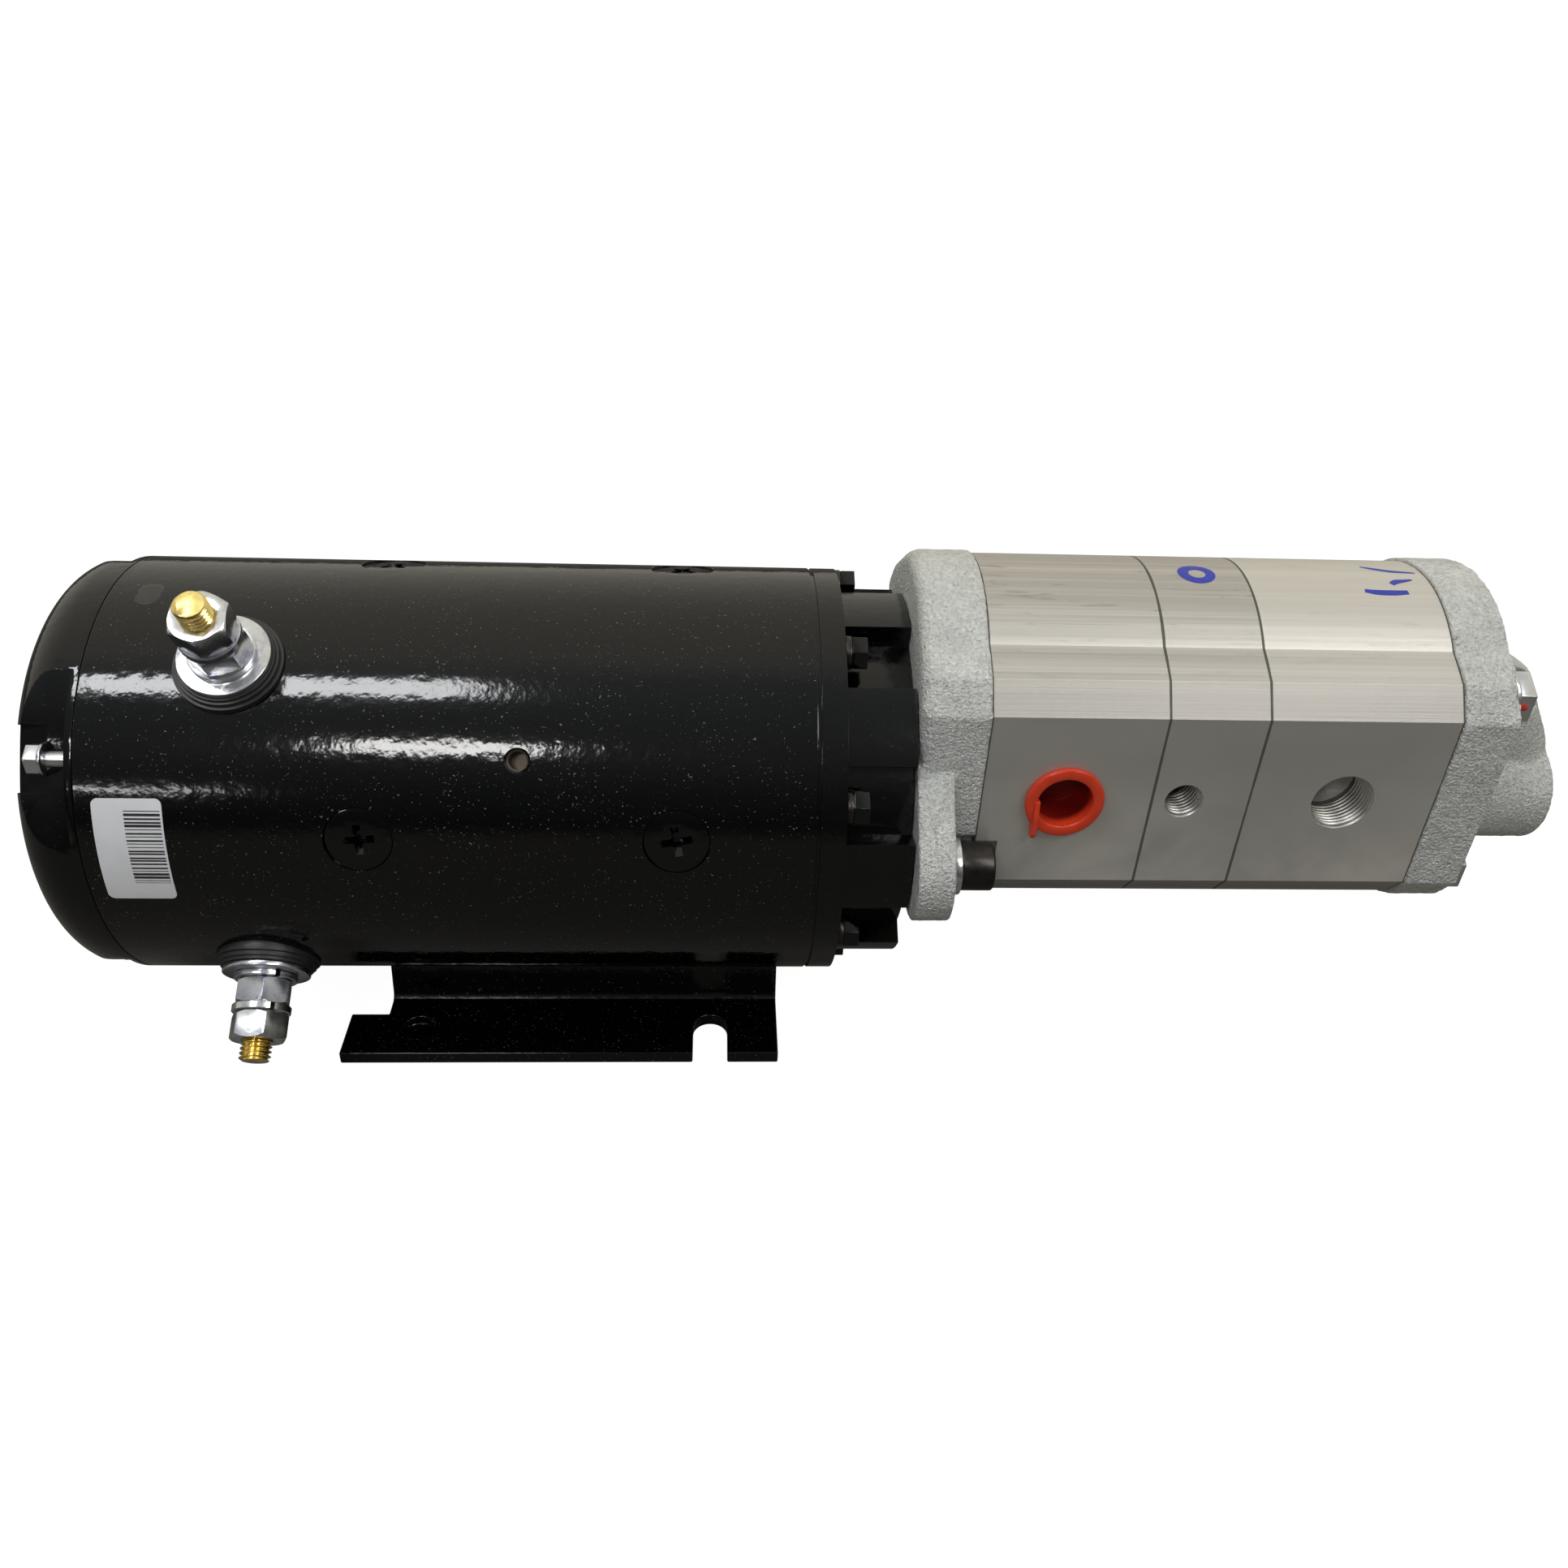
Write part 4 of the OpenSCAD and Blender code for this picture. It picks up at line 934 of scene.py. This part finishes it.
def stroke(stations):
    """A ribbon of ink along a smooth curve; stations: (x, y, width)."""
    points = [Vector(station[:2]) for station in stations]
    widths = [station[2] for station in stations]
    fine = []
    for i in range(len(points) - 1):
        p0, p1, p2 = points[max(0, i - 1)], points[i], points[i + 1]
        p3 = points[min(len(points) - 1, i + 2)]
        for step in range(8):
            t = step / 8
            spot = 0.5 * ((2 * p1) + (-p0 + p2) * t + (2 * p0 - 5 * p1 + 4 * p2 - p3) * t * t
                          + (-p0 + 3 * p1 - 3 * p2 + p3) * t ** 3)
            fine.append((spot, widths[i] * (1 - t) + widths[i + 1] * t))
    fine.append((points[-1], widths[-1]))
    verts, faces = [], []
    for i, (spot, width) in enumerate(fine):
        along = (fine[min(len(fine) - 1, i + 1)][0] - fine[max(0, i - 1)][0]).normalized()
        across = Vector((-along.y, along.x))
        for side in (-1, -0.5, 0, 0.5, 1):
            edge = spot + across * (width / 2 * side)
            verts.append(on_crown(edge.x, edge.y, 0.05 * (1 - 0.5 * abs(side))))
    for i in range(len(fine) - 1):
        for j in range(4):
            faces.append((i * 5 + j, i * 5 + j + 1, (i + 1) * 5 + j + 1, (i + 1) * 5 + j))
    return new_mesh(verts, faces, 60.0)


def ink_ring():
    verts, faces = [], []
    for i in range(64):
        t = TURN * i / 64
        for size, lift in ((1.0, 0.03), (0.92, 0.06), (0.62, 0.06), (0.45, 0.03)):
            verts.append(on_crown(170.1 + 5.0 * size * math.cos(t) + 0.3 * (1 - size),
                                  -2.9 + 4.6 * size * math.sin(t), lift))
    for i in range(64):
        k = (i + 1) % 64
        for j in range(3):
            faces.append((i * 4 + j, k * 4 + j, k * 4 + j + 1, i * 4 + j + 1))
    return new_mesh(verts, faces, 60.0)


add_part("ink_ring", ink_ring(), "blue_ink")
add_part("ink_stroke", join([
    stroke([(213.6, -9.2, 1.3), (216.5, -9.8, 1.9), (221.1, -9.9, 2.0), (225.2, -9.6, 1.5)]),
    stroke([(221.9, -6.3, 1.5), (223.4, -5.2, 1.9), (225.6, -4.7, 1.4), (228.2, -4.1, 0.7)]),
    stroke([(217.2, 3.5, 0.8), (220.6, 1.9, 1.5), (224.8, 0.5, 1.4), (230.8, -0.2, 0.6)]),
]), "blue_ink")

# ---------------------------------------------------------------- small paint details
# a dab of red paint on the upper rear bolt
dab = lathe([(0, 0.55), (0.7, 0.45), (1.25, 0.2), (1.5, -0.1), (1.3, -0.5), (0, -0.6)],
            place(248.9, -36.3, 116.2), (-0.25, -0.87, -0.42), 24, sharp=60.0)
for dab_vert in dab.vertices:
    dab_vert.co += Vector((1, 1, 1)) * 0.00022 * noise.noise(dab_vert.co * 900)
add_part("paint_dab", dab, "red_ink")

# a flush plugged spot on the tube
spot_profile = [(0, TUBE_R + 0.05), (3.2, TUBE_R - 0.01), (4.3, TUBE_R - 0.10),
                (4.6, TUBE_R - 0.35), (0, TUBE_R - 0.8)]
add_part("tube_spot", lathe(spot_profile, axis_at(-99.8), radial(81.1), 48, sharp=60.0),
         "plugged")

# painted shade: a dark disc low in the round foot hole at -Y, in place of the shaded floor seen
# through it
shade_disc_profile = [(0, 0.75), (3.2, 0.80), (4.1, 1.05), (4.55, 1.5), (4.55, 0.3), (0, 0.3)]
add_part("foot_hole_shade_disc", lathe(shade_disc_profile, place(-HOLE_X, -HOLE_Y, 0), (0, 0, 1), 48,
                                 closed=True, sharp=60.0), "gloss_black_clean")

# ---------------------------------------------------------------- CAD nodes that keep their mesh
KEPT = {
    "steel": "pole_shoes armature_core motor_shaft front_bearing_outer front_bearing_inner "
             "rear_bearing_outer rear_bearing_inner brush_spring_1 brush_spring_2 "
             "brush_spring_3 brush_spring_4 shaft_coupling drive_gear_front "
             "driven_gear_front drive_gear_rear driven_gear_rear section_coupling",
    "copper": "field_coils armature_windings commutator lead_straps",
    "brass_plain": "front_bearing_cage rear_bearing_cage brush_holders "
                   "bearing_blocks_front bearing_blocks_rear",
    "carbon": "brush_1 brush_2 brush_3 brush_4",
    "phenolic": "brush_plate",
    "label_film": "tube_label",
    "green_gasket": "flange_gasket",
    "black_rubber": "shaft_seal section_seals",
}
for kept_material, kept_nodes in KEPT.items():
    for kept_node in kept_nodes.split():
        set_material(NODES[kept_node].data, kept_material)


# ---------------------------------------------------------------- studio
def floor_material():
    """Near white to the camera, a dim bench to everything else."""
    material = bpy.data.materials.new("studio_floor")
    tree = empty_tree(material)
    output = add_node(tree, "OutputMaterial")
    rays = add_node(tree, "LightPath")
    white = add_node(tree, "Emission", {"Color": (1, 1, 1), "Strength": 0.97})
    pale = add_node(tree, "BsdfDiffuse", {"Color": (0.16, 0.16, 0.16)})
    seen = add_node(tree, "AddShader", {0: white.outputs[0], 1: pale.outputs[0]})
    bench = add_node(tree, "BsdfDiffuse", {"Color": (0.155, 0.150, 0.138)})
    mixed = add_node(tree, "MixShader", {0: rays.outputs["Is Camera Ray"],
                                         1: bench.outputs[0], 2: seen.outputs[0]})
    feed(tree, output.inputs[0], mixed.outputs[0])
    return material


floor_mesh = new_mesh([(-6, -6, 0), (6, -6, 0), (6, 12, 0), (-6, 12, 0)], [(0, 1, 2, 3)], 0.0)
floor_mesh.name = "studio_floor"
floor = add_object("studio_floor", floor_mesh)
floor_mesh.materials.append(floor_material())

SKY = [  # degrees up from level toward -Y (90 is overhead, 180 level toward +Y), colour
    (-180, (0.30, 0.28, 0.24)), (0, (0.05, 0.05, 0.052)), (18, (0.11, 0.11, 0.11)),
    (36, (0.22, 0.22, 0.225)), (58, (0.30, 0.31, 0.32)), (80, (0.42, 0.43, 0.44)),
    (92, (0.70, 0.68, 0.61)), (110, (0.74, 0.71, 0.63)), (150, (0.70, 0.67, 0.58)),
    (180, (0.55, 0.52, 0.45)),
]


def set_world():
    """The SKY bands light the scene, while the camera sees plain white."""
    world = bpy.data.worlds.new("studio")
    bpy.context.scene.world = world
    tree = empty_tree(world)
    output = add_node(tree, "OutputWorld")
    direction = add_node(tree, "TexCoord").outputs["Generated"]
    _, y, z = add_node(tree, "SeparateXYZ", {0: direction}).outputs
    angle = add_math(tree, "ARCTAN2", z, add_math(tree, "MULTIPLY", y, -1.0))
    factor = add_math(tree, "ADD", add_math(tree, "DIVIDE", angle, TURN), 0.5)
    sky = add_ramp(tree, factor, [(degrees / 360 + 0.5, colour) for degrees, colour in SKY])
    light = add_node(tree, "Background", {"Color": sky, "Strength": 1.0})
    white = add_node(tree, "Background", {"Color": (1, 1, 1), "Strength": 1.0})
    rays = add_node(tree, "LightPath")
    mixed = add_node(tree, "MixShader", {0: rays.outputs["Is Camera Ray"],
                                         1: light.outputs[0], 2: white.outputs[0]})
    feed(tree, output.inputs[0], mixed.outputs[0])


set_world()


def add_lamp(name, location, target, size, power, color):
    light = bpy.data.lights.new(name, "AREA")
    light.shape = "RECTANGLE"
    light.size, light.size_y = size
    light.energy = power
    light.color = color
    lamp = add_object(name, light)
    lamp.location = location
    lamp.rotation_mode = "QUATERNION"
    lamp.rotation_quaternion = (Vector(target) - Vector(location)).to_track_quat("-Z", "Y")
    lamp.visible_camera = False


# sizes in metres, power in watts; the first two are mirrored in the tube
add_lamp("lamp_front", place(-270, -935, 900), place(0, 0, 72),
         size=(0.22, 0.13), power=2.0, color=(1.0, 0.99, 0.97))
add_lamp("lamp_over", place(-340, -262, 900), place(-340, -262, 0),
         size=(0.36, 0.14), power=2.7, color=(0.97, 0.98, 1.0))
add_lamp("lamp_low", place(-800, -1500, 572), place(-95, -51, 97),
         size=(0.24, 0.03), power=0.62, color=(1.0, 1.0, 1.0))
add_lamp("lamp_fill", place(620, -560, 900), place(170, 0, 90),
         size=(0.5, 0.3), power=3.0, color=(1.0, 0.985, 0.95))


# ---------------------------------------------------------------- camera
def add_camera(location, pitch, yaw, roll):
    """Looks toward +Y and down by pitch; angles in radians, location in metres."""
    lens = bpy.data.cameras.new("camera")
    lens.lens, lens.sensor_width, lens.sensor_fit = 29.58, 36.0, "HORIZONTAL"
    lens.clip_start, lens.clip_end = 0.01, 100.0
    camera = add_object("camera", lens)
    along = Vector((1, 0, 0))
    toward = Vector((0, -math.cos(pitch), math.sin(pitch)))
    down = Vector((0, -math.sin(pitch), -math.cos(pitch)))
    level = along * math.cos(yaw) + toward * math.sin(yaw)
    ahead = along * math.sin(yaw) - toward * math.cos(yaw)
    right = level * math.cos(roll) - down * math.sin(roll)
    down = level * math.sin(roll) + down * math.cos(roll)
    turn = Matrix((right, -down, -ahead)).transposed()
    camera.matrix_world = Matrix.Translation(Vector(location)) @ turn.to_4x4()
    bpy.context.scene.camera = camera


add_camera((0.0849656, -0.311887, 0.2765987), pitch=math.radians(34.0), yaw=0.055, roll=0.00956)
bpy.context.scene.view_settings.view_transform = "Standard"
bpy.context.scene.view_settings.look = "None"
